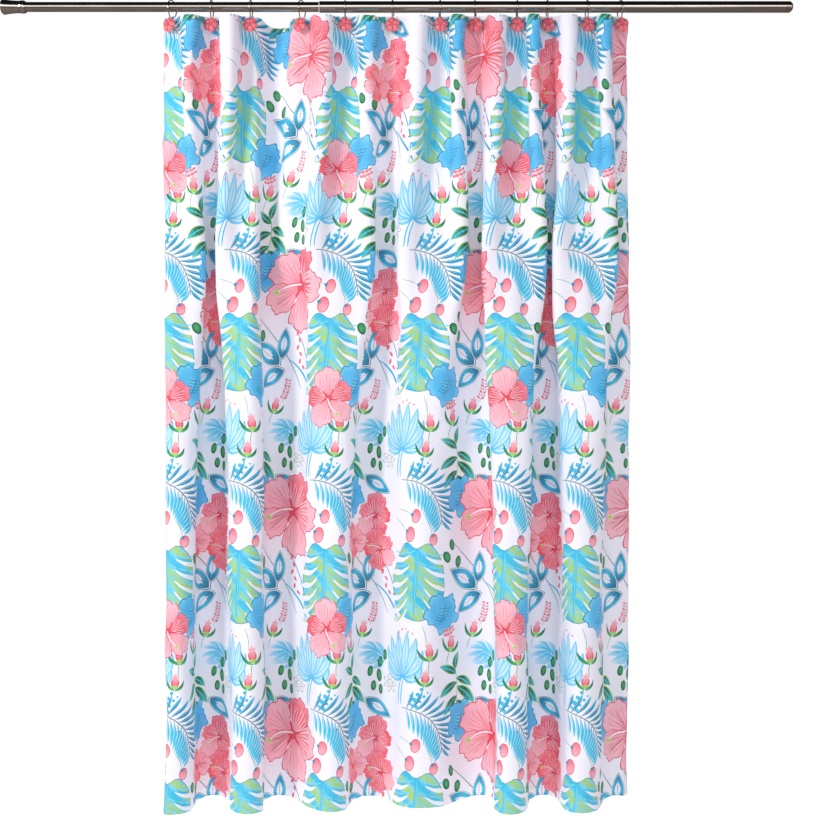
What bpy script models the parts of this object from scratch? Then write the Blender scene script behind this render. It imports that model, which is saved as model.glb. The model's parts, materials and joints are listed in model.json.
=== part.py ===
"""Shower curtain: a printed cloth panel hung by twelve flower hooks on a telescoping tension rod.

Metres, +Z up, +X along the rod to the right, -Y towards the room. The origin is the centre of the
right wall pad's face, on the rod's axis. Every hook is placed by its distance from that wall.
"""
import math

import bmesh
import bpy
import numpy as np
from mathutils import Matrix, Vector

# rod: a thin tube that telescopes into a thick one
rod_length = 1.833            # 72 in between the walls
outer_radius = 0.0127         # 1 in tube
outer_wall = 0.0006
outer_length = 1.079
inner_radius = 0.0110         # 7/8 in tube
inner_wall = 0.0007
inner_length = 1.050
tube_sides = 24
gap = 0.0003                  # clearance between touching pieces
pad_thick = 0.0025
right_head = 0.0135           # rounded head of the right end plug
right_stem = 0.025
cap_length = 0.0385           # flared left cap
cap_flare = 0.0173
cap_neck = 0.0138
cap_bore_depth = 0.028
collar_length = 0.0135
collar_radius = 0.0146
lip_radius = 0.0129           # mouth bush
lip_thick = 0.0016
bush_depth = 0.022

# mechanism hidden in the thick tube
plug_head = 0.006
plug_stem = 0.030
spindle_radius = 0.0030
spindle_tail = 0.045          # how far it reaches back inside it
cam_length = 0.024
cam_offset = 0.090            # from the end of the inner tube to the cam
cam_radius = 0.0114
spring_mean = 0.0072
spring_wire = 0.0010
spring_turns = 10

# hooks, counted from the left
hook_x = [-1.438, -1.346, -1.255, -1.137, -1.037, -0.926, -0.817, -0.735, -0.638, -0.568, -0.476, -0.399]
hook_turn = [-24, -3, -3, -24, 2, -7, 5, -9, 0, 1, 5, 12]     # degrees about the vertical
wire_radius = 0.00125
arch_radius = 0.0170
bead = ((-14, 1), (-11, 1), (-9, 1.9), (-4, 2.24), (1, 1.9), (3, 1))    # angle on the arch, share of the wire
leg_y = -0.0090               # wire behind the flower
back_leg = ((0.0125, -0.0190), (0.0098, -0.0270), (0.0070, -0.0325), (0.0035, -0.0356))
throat = ((0.0005, -0.0362), (-0.0028, -0.0345), (-0.0046, -0.0310))
wire_sides = 6
plate_radius = 0.0150
plate_thick = 0.0010
flower_z = -0.0450
flower_radius = 0.0170
flower_thick = 0.0075
flower_layers = ((0.0, 0.88), (0.0020, 1.0), (0.0050, 0.95), (0.0066, 0.60))     # depth, share of the radius
petals = 5

# cloth panel
cloth_size = 1.829            # 72 in square, cut flat
cloth_thick = 0.0006
first_hole = 0.038            # from the side edge to the first buttonhole
top_drop = 0.0215             # top edge below the rod's axis at a hook
top_sag = 0.012               # extra between two hooks
hole_wide = 0.010
hole_drop = 0.0115            # from the top edge to the top of a buttonhole
hole_high = 0.010
flat_run = 0.010              # cloth that lies flat each side of a hook
bulge = [-1, -1, 1, -1, -1, -1, -1, -1, -1, -1, -1]            # top folds, -1 is towards the room
flap_turn = 72                # the free side edges curl back
hem_gap = [0.072, 0.096, 0.062, 0.127, 0.083, 0.128, 0.137, 0.063, 0.087, 0.077, 0.105]
hem_left = 0.013              # first hook's line at the hem, from its place at the rod
hem_back = 0.064              # how far the valleys stand back at the hem
merge_from, merge_to = 0.10, 1.05                              # where top folds pair up into hem folds


cloth_pitch = (cloth_size - 2 * first_hole) / (len(hook_x) - 1)     # cloth between two buttonholes

for old in list(bpy.data.objects):
    bpy.data.objects.remove(old)


def material(name, colour, roughness, metallic=0.0):
    made = bpy.data.materials.new(name)
    made.use_nodes = True
    shader = made.node_tree.nodes["Principled BSDF"]
    shader.inputs["Base Color"].default_value = (*colour, 1)
    shader.inputs["Roughness"].default_value = roughness
    shader.inputs["Metallic"].default_value = metallic
    return made


def add_object(name, bm, mat, parent=None, at=(0, 0, 0), smooth_angle=35):
    mesh = bpy.data.meshes.new(name)
    bm.to_mesh(mesh)
    bm.free()
    mesh.shade_smooth()
    mesh.set_sharp_from_angle(angle=math.radians(smooth_angle))
    mesh.materials.append(mat)
    made = bpy.data.objects.new(name, mesh)
    made.location = at
    made.parent = parent
    bpy.context.collection.objects.link(made)
    return made


def add_empty(name, at, parent=None):
    made = bpy.data.objects.new(name, None)
    made.location = at
    made.parent = parent
    bpy.context.collection.objects.link(made)
    return made


def turned(profile, sides=tube_sides, eccentric=0.0):
    """A closed ring turned about X from a closed profile of (x, radius), counter-clockwise."""
    bm = bmesh.new()
    rings = []
    for n in range(sides):
        angle = 2 * math.pi * n / sides
        y, z = math.sin(angle), math.cos(angle)
        rings.append([bm.verts.new((x, y * r + eccentric * (r > spring_mean), z * r)) for x, r in profile])
    for n in range(sides):
        a, b = rings[n], rings[(n + 1) % sides]
        for m in range(len(profile)):
            k = (m + 1) % len(profile)
            bm.faces.new((a[m], a[k], b[k], b[m]))
    bmesh.ops.recalc_face_normals(bm, faces=bm.faces)
    return bm


def turned_solid(profile, sides=tube_sides):
    """A solid turned about X from an open profile of (x, radius), closed by a flat disc at each end."""
    bm = bmesh.new()
    rings = []
    for x, r in profile:
        ring = [2 * math.pi * n / sides for n in range(sides)]
        rings.append([bm.verts.new((x, r * math.sin(a), r * math.cos(a))) for a in ring])
    for a, b in zip(rings, rings[1:]):
        for n in range(sides):
            k = (n + 1) % sides
            bm.faces.new((a[n], a[k], b[k], b[n]))
    bm.faces.new(rings[0])
    bm.faces.new(rings[-1])
    bmesh.ops.recalc_face_normals(bm, faces=bm.faces)
    return bm


def swept(points, radii, sides):
    """A round bar through points, with a radius at each, closed by a flat disc at each end."""
    bm = bmesh.new()
    rings = []
    side = Vector((1, 0, 0))
    for n, (point, radius) in enumerate(zip(points, radii)):
        before, after = points[max(n - 1, 0)], points[min(n + 1, len(points) - 1)]
        along = (after - before).normalized()
        side = (side - along * side.dot(along)).normalized()
        up = along.cross(side)
        turns = [2 * math.pi * k / sides for k in range(sides)]
        rings.append([bm.verts.new(point + (side * math.cos(t) + up * math.sin(t)) * radius) for t in turns])
    for a, b in zip(rings, rings[1:]):
        for n in range(sides):
            k = (n + 1) % sides
            bm.faces.new((a[n], a[k], b[k], b[n]))
    bm.faces.new(rings[0])
    bm.faces.new(rings[-1])
    bmesh.ops.recalc_face_normals(bm, faces=bm.faces)
    return bm


def tube_profile(start, end, radius, wall):
    return [(start, radius - wall), (end, radius - wall), (end, radius), (start, radius)]


def make_fixed_half(mats):
    """Thick tube with its mouth bush, right end plug and right wall pad."""
    right = -pad_thick - gap
    tube_end = right - right_head - gap
    tube_start = tube_end - outer_length
    bore = outer_radius - outer_wall
    add_object("outer_tube", turned(tube_profile(tube_start, tube_end, outer_radius, outer_wall)), mats["nickel"])
    lip = tube_start - gap
    bush = [
        (lip - lip_thick, inner_radius + gap),
        (lip + bush_depth, inner_radius + gap),
        (lip + bush_depth, bore - gap),
        (lip, bore - gap),
        (lip, lip_radius),
        (lip - lip_thick, lip_radius),
    ]
    add_object("mouth_bush", turned(bush), mats["bush"])
    head = tube_end + gap
    plug = [(head - right_stem, bore - gap), (head, bore - gap), (head, outer_radius)]
    for step in range(5):
        angle = math.pi / 2 * step / 4
        reach, drop = 0.0045, 0.0032
        plug.append((right - reach * (1 - math.sin(angle)), outer_radius - drop * (1 - math.cos(angle))))
    add_object("right_end_plug", turned_solid(plug), mats["cap"])
    pad = [(-pad_thick, 0.0088), (-0.0008, 0.0088), (0, 0.0080)]
    add_object("right_wall_pad", turned_solid(pad), mats["rubber"])
    return tube_start


def make_sliding_half(mats):
    """Thin tube with its collar, flared cap, wall pad and the plug at its hidden end."""
    left = -rod_length
    holder = add_empty("sliding_half_axis", (left, 0, 0))
    cap_start = pad_thick + gap
    cap_end = cap_start + cap_length
    tube_start = cap_end - cap_bore_depth
    tube_end = tube_start + inner_length
    bore = inner_radius - inner_wall
    tube = tube_profile(tube_start, tube_end, inner_radius, inner_wall)
    add_object("inner_tube", turned(tube), mats["nickel"], holder)
    cap = [(tube_start - gap, inner_radius + gap), (cap_end, inner_radius + gap), (cap_end, cap_neck - 0.0008)]
    cap += [(cap_end - 0.0008, cap_neck)]
    for step in range(1, 7):
        share = step / 6
        flare = (cap_flare - cap_neck) * share ** 2
        cap.append((cap_end - 0.0008 - (cap_length - 0.0030) * share, cap_neck + flare))
    cap += [(cap_start, cap_flare - 0.0016), (cap_start, 0.0060), (tube_start - gap, 0.0060)]
    add_object("left_end_cap", turned(cap), mats["nickel"], holder)
    collar = [(cap_end + gap, inner_radius + gap), (cap_end + collar_length, inner_radius + gap)]
    for step in range(7):
        angle = math.pi * step / 6
        middle = cap_end + gap + (collar_length - gap) / 2
        rise = collar_radius - inner_radius - 0.0012
        half = (collar_length - gap) / 2
        collar.append((middle + half * math.cos(angle), inner_radius + 0.0012 + rise * math.sin(angle) ** 0.7))
    add_object("collar_ring", turned(collar), mats["nickel"], holder)
    pad = [(0, 0.0140), (0.0008, 0.0150), (pad_thick, 0.0150)]
    add_object("left_wall_pad", turned_solid(pad), mats["rubber"], holder)
    plug = [
        (tube_end - plug_stem, spindle_radius + gap),
        (tube_end + plug_head, spindle_radius + gap),
        (tube_end + plug_head, inner_radius + gap),
        (tube_end + gap, inner_radius + gap),
        (tube_end + gap, bore - gap),
        (tube_end - plug_stem, bore - gap),
    ]
    add_object("inner_plug", turned(plug), mats["bush"], holder)
    return left + tube_end


def make_mechanism(mats, tube_end):
    """Spindle, lock cam and tension spring, in line behind the thin tube's plug."""
    spindle_axis = add_empty("spindle_axis", (tube_end, 0, 0))
    spindle_reach = cam_offset + cam_length + gap
    spindle = [
        (-spindle_tail, 0.0058),
        (-spindle_tail + 0.003, 0.0058),
        (-spindle_tail + 0.003, spindle_radius),
        (spindle_reach, spindle_radius),
        (spindle_reach, 0.0052),
        (spindle_reach + 0.004, 0.0052),
    ]
    add_object("screw_spindle", turned_solid(spindle, 16), mats["steel"], spindle_axis)
    cam = [
        (cam_offset, spindle_radius + gap),
        (cam_offset + cam_length, spindle_radius + gap),
        (cam_offset + cam_length, cam_radius - 0.001),
        (cam_offset + cam_length - 0.001, cam_radius),
        (cam_offset + 0.001, cam_radius),
        (cam_offset, cam_radius - 0.001),
    ]
    cam_axis = add_empty("lock_cam_axis", (tube_end, 0, 0))
    add_object("lock_cam", turned(cam, 24, eccentric=0.0004), mats["bush"], cam_axis)
    start = plug_head + gap + spring_wire
    end = cam_offset - gap - spring_wire
    count = spring_turns * 9
    points = []
    for n in range(count + 1):
        angle = 2 * math.pi * spring_turns * n / count
        x = start + (end - start) * n / count
        points.append(Vector((x, spring_mean * math.sin(angle), spring_mean * math.cos(angle))))
    add_object("tension_spring", swept(points, [spring_wire] * len(points), 5), mats["steel"], cam_axis)


def hook_route():
    """The wire's centre line in the YZ plane: front leg, bead, arch over the rod, back leg, throat and tip."""
    arch_z = lip_radius + gap + wire_radius - arch_radius
    down = math.radians(14)
    route = [(Vector((0, leg_y, flower_z + rise)), wire_radius) for rise in (0, 0.009, 0.0175)]

    def on_arch(degrees):
        angle = math.radians(degrees)
        return Vector((0, -arch_radius * math.cos(angle), arch_z + arch_radius * math.sin(angle)))

    leg = on_arch(-math.degrees(down))
    for share in (0.35, 0.7):
        route.append((route[2][0].lerp(leg, share), wire_radius))
    for degrees, share in bead:
        route.append((on_arch(degrees), wire_radius * share))
    for degrees in (20, 42, 66, 90, 114, 138, 160, 180, 194):
        route.append((on_arch(degrees), wire_radius))
    for y, z in back_leg + throat:
        route.append((Vector((0, y, z)), wire_radius))
    return [p for p, _ in route], [r for _, r in route]


def flower_outline(angle, scale):
    """Five round petals with a notch between each pair."""
    petal = abs(math.cos(petals * angle / 2))
    return flower_radius * scale * (0.80 + 0.20 * petal ** 0.6)


def make_flower():
    """A cast five-petal flower, domed at the front and flat at the back, facing -Y."""
    bm = bmesh.new()
    count = petals * 6
    rings = []
    for depth, scale in flower_layers:
        ring = []
        for n in range(count):
            angle = 2 * math.pi * n / count
            r = flower_outline(angle, scale)
            ring.append(bm.verts.new((r * math.sin(angle), -depth, r * math.cos(angle))))
        rings.append(ring)
    for a, b in zip(rings, rings[1:]):
        for n in range(count):
            k = (n + 1) % count
            bm.faces.new((a[n], a[k], b[k], b[n]))
    back = bm.verts.new((0, 0, 0))
    front = bm.verts.new((0, -flower_thick, 0))
    for n in range(count):
        k = (n + 1) % count
        bm.faces.new((rings[0][n], rings[0][k], back))
        bm.faces.new((rings[-1][n], rings[-1][k], front))
    bmesh.ops.recalc_face_normals(bm, faces=bm.faces)
    return bm


def make_plate():
    """The round steel plate at the end of the wire, which the flower is glued to."""
    bm = bmesh.new()
    turn = Matrix.Rotation(math.radians(90), 4, "X")
    bmesh.ops.create_cone(bm, cap_ends=True, segments=20, radius1=plate_radius, radius2=plate_radius,
                          depth=plate_thick, matrix=turn)
    return bm


def make_hooks(mats):
    points, radii = hook_route()
    plate_y = points[0].y - wire_radius - gap - plate_thick / 2
    flower_y = plate_y - plate_thick / 2 - gap
    for number, (x, turn) in enumerate(zip(hook_x, hook_turn), 1):
        holder = add_empty(f"hook_{number}_axis", (x, 0, 0))
        holder.rotation_euler = (0, 0, math.radians(turn))
        add_object(f"hook_wire_{number}", swept(points, radii, wire_sides), mats["steel"], holder, smooth_angle=70)
        add_object(f"flower_plate_{number}", make_plate(), mats["steel"], holder, (0, plate_y, flower_z))
        add_object(f"flower_{number}", make_flower(), mats["resin"], holder, (0, flower_y, flower_z))


def smooth_share(value, low, high):
    share = np.clip((value - low) / (high - low), 0, 1)
    return share * share * (3 - 2 * share)


def interval_path(number, fine, paired, width):
    """The fold between two buttonholes: steps of (x, y) along cloth_pitch of cloth that spans width.

    paired is 0 where every gap between two hooks holds one fold, and 1 where the folds have paired up.
    """
    share = (np.arange(fine) + 0.5) / fine
    flat = flat_run / cloth_pitch
    inside = np.clip((share - flat) / (1 - 2 * flat), 0, 1)
    single = bulge[number] * np.sin(2 * np.pi * inside)
    direction = 1 if number % 2 == 0 else -1
    double = direction * np.sin(np.pi * share)
    shape = (1 - paired) * single + paired * double
    low, high = 0.0, 2.6
    for _ in range(40):
        bend = (low + high) / 2
        if np.cos(bend * shape).mean() * cloth_pitch > width:
            low = bend
        else:
            high = bend
    step = cloth_pitch / fine
    return np.cos(bend * shape) * step, np.sin(bend * shape) * step


def flap_path(turn, fine):
    """Steps of (x, y) from a side buttonhole out to the free side edge, which curls back by turn degrees."""
    share = (np.arange(fine) + 0.5) / fine
    angle = math.radians(turn) * smooth_share(share, 0.1, 0.7)
    step = first_hole / fine
    return np.cos(angle) * step, np.sin(angle) * step


def cloth_row(drop, fine=40):
    """Dense points (s, x, y) of the cloth's centre line at one distance below its top edge."""
    paired = float(smooth_share(drop, merge_from, merge_to))
    left_x, left_y = flap_path(flap_turn, fine)
    steps_x, steps_y, lengths = [left_x[::-1]], [-left_y[::-1]], [np.full(fine, first_hole / fine)]
    for number in range(len(hook_x) - 1):
        top_width = hook_x[number + 1] - hook_x[number]
        width = top_width * (1 - paired) + hem_gap[number] * paired
        dx, dy = interval_path(number, fine, paired, width)
        steps_x.append(dx)
        steps_y.append(dy)
        lengths.append(np.full(fine, cloth_pitch / fine))
    right_x, right_y = flap_path(flap_turn, fine)
    steps_x.append(right_x)
    steps_y.append(right_y)
    lengths.append(np.full(fine, first_hole / fine))
    s, x, y = (np.concatenate([[0], np.cumsum(np.concatenate(parts))]) for parts in (lengths, steps_x, steps_y))
    x += hook_x[0] + hem_left * paired - x[fine]
    valleys = [fine * (k + 1) for k in range(1, len(hook_x), 2)]
    level = 0.0015 * (1 - paired) + hem_back * paired
    y -= np.interp(s, s[valleys], y[valleys] - level)
    return s, x, y


def cloth_columns():
    """Distances along the flat cloth of the mesh's columns, and which of them start a buttonhole."""
    columns, holes = [0.0, first_hole / 2], []
    for number in range(len(hook_x)):
        centre = first_hole + cloth_pitch * number
        holes.append(len(columns))
        columns += [centre - hole_wide / 2, centre + hole_wide / 2]
        if number < len(hook_x) - 1:
            free = cloth_pitch - hole_wide
            columns += [centre + hole_wide / 2 + free * k / 8 for k in range(1, 8)]
    columns += [cloth_size - first_hole / 2, cloth_size]
    return columns, holes


def top_edge(s):
    between = (s - first_hole) / cloth_pitch
    inside = 0 <= between <= len(hook_x) - 1
    sag = top_sag * math.sin(math.pi * between) ** 2 if inside else 0.003
    return -top_drop - sag


def make_panel(mats):
    """The cloth as a thin closed sheet with its folds and its twelve buttonholes."""
    columns, holes = cloth_columns()
    drops = [0.0, hole_drop, hole_drop + hole_high, 0.07, 0.20, 0.40, 0.60, 0.80, 1.10, cloth_size]
    bm = bmesh.new()
    front, back = [], []
    for drop in drops:
        s, x, y = cloth_row(drop)
        tangent_x, tangent_y = np.gradient(x, s), np.gradient(y, s)
        fade = 1 - 0.6 * min(drop / 0.3, 1)
        rows = ([], [])
        for column in columns:
            px, py = np.interp(column, s, x), np.interp(column, s, y)
            tx, ty = np.interp(column, s, tangent_x), np.interp(column, s, tangent_y)
            size = math.hypot(tx, ty)
            normal = Vector((ty / size, -tx / size, 0)) * cloth_thick / 2
            z = -top_drop + (top_edge(column) + top_drop) * fade - drop
            rows[0].append(bm.verts.new(Vector((px, py, z)) + normal))
            rows[1].append(bm.verts.new(Vector((px, py, z)) - normal))
        front.append(rows[0])
        back.append(rows[1])
    hole_row = 1
    for r in range(len(drops) - 1):
        for c in range(len(columns) - 1):
            if r == hole_row and c in holes:
                continue
            bm.faces.new((front[r][c], front[r + 1][c], front[r + 1][c + 1], front[r][c + 1]))
            bm.faces.new((back[r][c], back[r][c + 1], back[r + 1][c + 1], back[r + 1][c]))
    close_rim(bm)
    add_object("curtain_panel", bm, mats["cloth"], smooth_angle=60)


def close_rim(bm):
    """Joins the front sheet to the back sheet around the outside and around every buttonhole."""
    bm.verts.index_update()
    partner = {}
    for vert in bm.verts:
        partner[vert] = vert.index ^ 1
    bm.verts.ensure_lookup_table()
    rim = [edge for edge in bm.edges if len(edge.link_faces) == 1 and edge.verts[0].index % 2 == 0]
    for edge in rim:
        a, b = edge.link_loops[0].vert, edge.link_loops[0].link_loop_next.vert
        bm.faces.new((b, a, bm.verts[partner[a]], bm.verts[partner[b]]))
    bmesh.ops.recalc_face_normals(bm, faces=bm.faces)


finishes = {
    "nickel": material("polished_nickel", (0.72, 0.69, 0.65), 0.12, 1.0),
    "cap": material("nickel_cap", (0.70, 0.67, 0.63), 0.16, 1.0),
    "bush": material("white_nylon", (0.82, 0.81, 0.78), 0.45),
    "rubber": material("grey_rubber", (0.10, 0.10, 0.10), 0.80),
    "steel": material("hook_steel", (0.42, 0.40, 0.38), 0.25, 1.0),
    "resin": material("coral_resin", (0.85, 0.22, 0.24), 0.35),
    "cloth": material("printed_polyester", (0.88, 0.86, 0.94), 0.70),
}
make_fixed_half(finishes)
thin_tube_end = make_sliding_half(finishes)
make_mechanism(finishes, thin_tube_end)
make_hooks(finishes)
make_panel(finishes)
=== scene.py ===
import math
import json
import bmesh
import bpy
import numpy as np
from mathutils import Matrix, Vector
from mathutils.geometry import delaunay_2d_cdt

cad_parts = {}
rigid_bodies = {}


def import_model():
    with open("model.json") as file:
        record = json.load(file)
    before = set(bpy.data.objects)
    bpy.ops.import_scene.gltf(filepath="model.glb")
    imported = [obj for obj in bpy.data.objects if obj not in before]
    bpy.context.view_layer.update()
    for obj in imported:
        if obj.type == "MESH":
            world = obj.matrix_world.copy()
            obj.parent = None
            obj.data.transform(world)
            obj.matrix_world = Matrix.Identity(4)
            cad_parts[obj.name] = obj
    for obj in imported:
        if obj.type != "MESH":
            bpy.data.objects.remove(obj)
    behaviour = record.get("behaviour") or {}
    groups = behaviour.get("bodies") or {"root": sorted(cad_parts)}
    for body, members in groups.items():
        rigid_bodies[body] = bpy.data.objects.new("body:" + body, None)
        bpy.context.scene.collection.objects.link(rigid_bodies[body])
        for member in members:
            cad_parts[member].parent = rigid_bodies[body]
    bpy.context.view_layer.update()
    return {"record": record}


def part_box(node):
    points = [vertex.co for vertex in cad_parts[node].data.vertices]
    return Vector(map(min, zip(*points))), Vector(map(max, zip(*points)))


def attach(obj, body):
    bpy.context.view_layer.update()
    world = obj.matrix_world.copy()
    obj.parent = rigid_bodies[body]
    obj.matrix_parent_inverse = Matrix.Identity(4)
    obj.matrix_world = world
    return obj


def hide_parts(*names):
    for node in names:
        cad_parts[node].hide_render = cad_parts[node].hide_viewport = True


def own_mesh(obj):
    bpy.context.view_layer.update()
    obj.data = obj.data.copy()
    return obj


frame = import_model()
print("frame loaded")

joints = {joint["name"]: joint for joint in frame["record"]["behaviour"]["joints"]}
couplings = frame["record"]["behaviour"]["couplings"]
drawKeep = 0.55                                    # share of its width the panel keeps when it is drawn
drawReach = joints["curtain_draw"]["range_m"][1]
firstHookX = -drawReach / (1 - drawKeep)
hookX = [firstHookX] + [firstHookX * c["ratio"] for c in couplings]
hookCount = len(hookX)
rodMiddle = (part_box("left_wall_pad")[0][0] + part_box("right_wall_pad")[1][0]) / 2


def linear(hexColour):
    channels = [int(hexColour[n:n + 2], 16) / 255 for n in (0, 2, 4)]
    return np.array([c / 12.92 if c <= 0.04045 else ((c + 0.055) / 1.055) ** 2.4 for c in channels])


view = {
    "distance": 2.5,                               # from the rod, straight in front of it
    "metresAcross": 1.900,                         # seen at the rod's distance
    "aside": 0.0290,                               # camera's line of sight, right of the rod's middle
    "below": 0.9338,                               # camera's height, below the rod's axis
    "floorZ": -2.25,
}


def makeCamera():
    data = bpy.data.cameras.new("camera")
    camera = bpy.data.objects.new("camera", data)
    bpy.context.collection.objects.link(camera)
    camera.location = (rodMiddle + view["aside"], -view["distance"], -view["below"])
    camera.rotation_euler = (math.radians(90), 0, 0)
    data.sensor_width = 36
    data.lens = 36 * view["distance"] / view["metresAcross"]
    data.clip_end = 50
    bpy.context.scene.camera = camera


def addLight(name, place, aim, size, power, colour=(1, 1, 1), spread=180):
    data = bpy.data.lights.new(name, "AREA")
    data.shape = "RECTANGLE"
    data.size, data.size_y = size
    data.energy = power
    data.color = colour
    data.spread = math.radians(spread)
    light = bpy.data.objects.new(name, data)
    light.location = place
    light.rotation_euler = (Vector(aim) - Vector(place)).to_track_quat("-Z", "Y").to_euler()
    bpy.context.collection.objects.link(light)


# white behind everything, a soft lavender-grey on the cloth, and dark cards above for the metal to mirror
def makeWorld():
    world = bpy.data.worlds.new("studio")
    world.use_nodes = True
    nodes, links = world.node_tree.nodes, world.node_tree.links
    background = nodes["Background"]
    rays = nodes.new("ShaderNodeLightPath")
    place = nodes.new("ShaderNodeTexCoord")
    apart = nodes.new("ShaderNodeSeparateXYZ")
    links.new(place.outputs["Generated"], apart.inputs[0])
    height = nodes.new("ShaderNodeMapRange")
    height.inputs["From Min"].default_value, height.inputs["From Max"].default_value = -1, 1
    links.new(apart.outputs["Z"], height.inputs["Value"])
    cards = nodes.new("ShaderNodeValToRGB")
    stops = [(0.0, (0.14, 0.115, 0.10)), (0.34, (0.34, 0.285, 0.245)), (0.44, (0.85, 0.77, 0.70)),
             (0.48, (2.8, 2.75, 2.65)),
             (0.58, (2.8, 2.75, 2.65)), (0.64, (0.06, 0.055, 0.05)), (0.80, (0.015, 0.014, 0.014)),
             (1.0, (0.01, 0.01, 0.01))]
    while len(cards.color_ramp.elements) < len(stops):
        cards.color_ramp.elements.new(0.5)
    for element, (at, colour) in zip(cards.color_ramp.elements, stops):
        element.position = at
        element.color = (*colour, 1)
    links.new(height.outputs["Result"], cards.inputs["Fac"])
    behind = nodes.new("ShaderNodeMapRange")
    behind.inputs["From Min"].default_value, behind.inputs["From Max"].default_value = -0.1, 0.25
    links.new(apart.outputs["Y"], behind.inputs["Value"])
    mirrored = nodes.new("ShaderNodeMix")
    mirrored.data_type = "RGBA"
    links.new(behind.outputs["Result"], mirrored.inputs["Factor"])
    links.new(cards.outputs["Color"], mirrored.inputs[6])
    mirrored.inputs[7].default_value = (0.03, 0.03, 0.033, 1)
    soft = nodes.new("ShaderNodeMix")
    soft.data_type = "RGBA"
    links.new(rays.outputs["Is Glossy Ray"], soft.inputs["Factor"])
    soft.inputs[6].default_value = (0.255, 0.255, 0.30, 1)
    links.new(mirrored.outputs[2], soft.inputs[7])
    seen = nodes.new("ShaderNodeMix")
    seen.data_type = "RGBA"
    links.new(rays.outputs["Is Camera Ray"], seen.inputs["Factor"])
    links.new(soft.outputs[2], seen.inputs[6])
    seen.inputs[7].default_value = (1, 1, 1, 1)
    links.new(seen.outputs[2], background.inputs["Color"])
    background.inputs["Strength"].default_value = 1.0
    bpy.context.scene.world = world


def makeStudio():
    bpy.context.scene.view_settings.view_transform = "Standard"
    makeWorld()
    middle = (rodMiddle, 0, -0.8)
    addLight("key_softbox", (rodMiddle - 2.3, -2.2, 0.35), middle, (0.6, 1.2), 52, (1, 0.985, 0.965))
    addLight("front_fill", (rodMiddle + 0.5, -3.4, -0.6), middle, (2.4, 2.4), 12)
    bm = bmesh.new()
    bmesh.ops.create_grid(bm, x_segments=1, y_segments=1, size=9)
    floor = addMesh("studio_floor", bm)
    floor.location = (rodMiddle, 0, view["floorZ"])
    paint = newMaterial("pale_floor")
    shader = paint.node_tree.nodes["Principled BSDF"]
    nodes, links = paint.node_tree.nodes, paint.node_tree.links
    rays = nodes.new("ShaderNodeLightPath")        # the metal mirrors a darker floor than the one in view
    for socket, bright, dark in (("Base Color", (0.9, 0.9, 0.9, 1), (0.20, 0.17, 0.15, 1)),
                                 ("Emission Color", (1, 1, 1, 1), (0.16, 0.135, 0.115, 1))):
        tone = nodes.new("ShaderNodeMix")
        tone.data_type = "RGBA"
        tone.inputs[6].default_value, tone.inputs[7].default_value = bright, dark
        links.new(rays.outputs["Is Glossy Ray"], tone.inputs["Factor"])
        links.new(tone.outputs[2], shader.inputs[socket])
    shader.inputs["Roughness"].default_value = 0.9
    shader.inputs["Emission Strength"].default_value = 0.85
    floor.data.materials.append(paint)


def newMaterial(name):
    made = bpy.data.materials.new(name)
    made.use_nodes = True
    return made


def addMesh(name, bm):
    mesh = bpy.data.meshes.new(name)
    bm.to_mesh(mesh)
    bm.free()
    made = bpy.data.objects.new(name, mesh)
    bpy.context.collection.objects.link(made)
    return made


cloth = {
    "size": 1.829,                                 # 72 in square, cut flat
    "firstHole": 0.038,
    "topDrop": 0.0215,
    "topSag": 0.012,
    "holeTop": 0.0115,
    "hole": (0.0100, 0.0100),
    "flatRun": 0.010,
    "flapTurn": 72,
    "bulge": [-1, -1, 1, -1, -1, -1, -1, -1, -1, -1, -1],
    "hemGap": [0.072, 0.096, 0.062, 0.127, 0.083, 0.128, 0.137, 0.063, 0.087, 0.077, 0.105],
    "hemLeft": 0.013,
    "hemBack": 0.064,
    "merge": (0.10, 1.05),
    "columns": 184,
    "rows": 112,
}
pitch = (cloth["size"] - 2 * cloth["firstHole"]) / (hookCount - 1)


def smoothShare(value, low, high):
    share = np.clip((value - low) / (high - low), 0, 1)
    return share * share * (3 - 2 * share)


def intervalPath(number, fine, paired, width):
    share = (np.arange(fine) + 0.5) / fine
    flat = cloth["flatRun"] / pitch
    inside = np.clip((share - flat) / (1 - 2 * flat), 0, 1)
    single = cloth["bulge"][number] * np.sin(2 * np.pi * inside)
    double = (1 if number % 2 == 0 else -1) * np.sin(np.pi * share)
    shape = (1 - paired) * single + paired * double
    low, high = 0.0, 2.6
    for _ in range(40):                            # the bend that makes the fold span its width
        bend = (low + high) / 2
        if np.cos(bend * shape).mean() * pitch > width:
            low = bend
        else:
            high = bend
    return np.cos(bend * shape) * pitch / fine, np.sin(bend * shape) * pitch / fine


def flapPath(fine):
    share = (np.arange(fine) + 0.5) / fine
    angle = math.radians(cloth["flapTurn"]) * smoothShare(share, 0.1, 0.7)
    step = cloth["firstHole"] / fine
    return np.cos(angle) * step, np.sin(angle) * step


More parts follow.
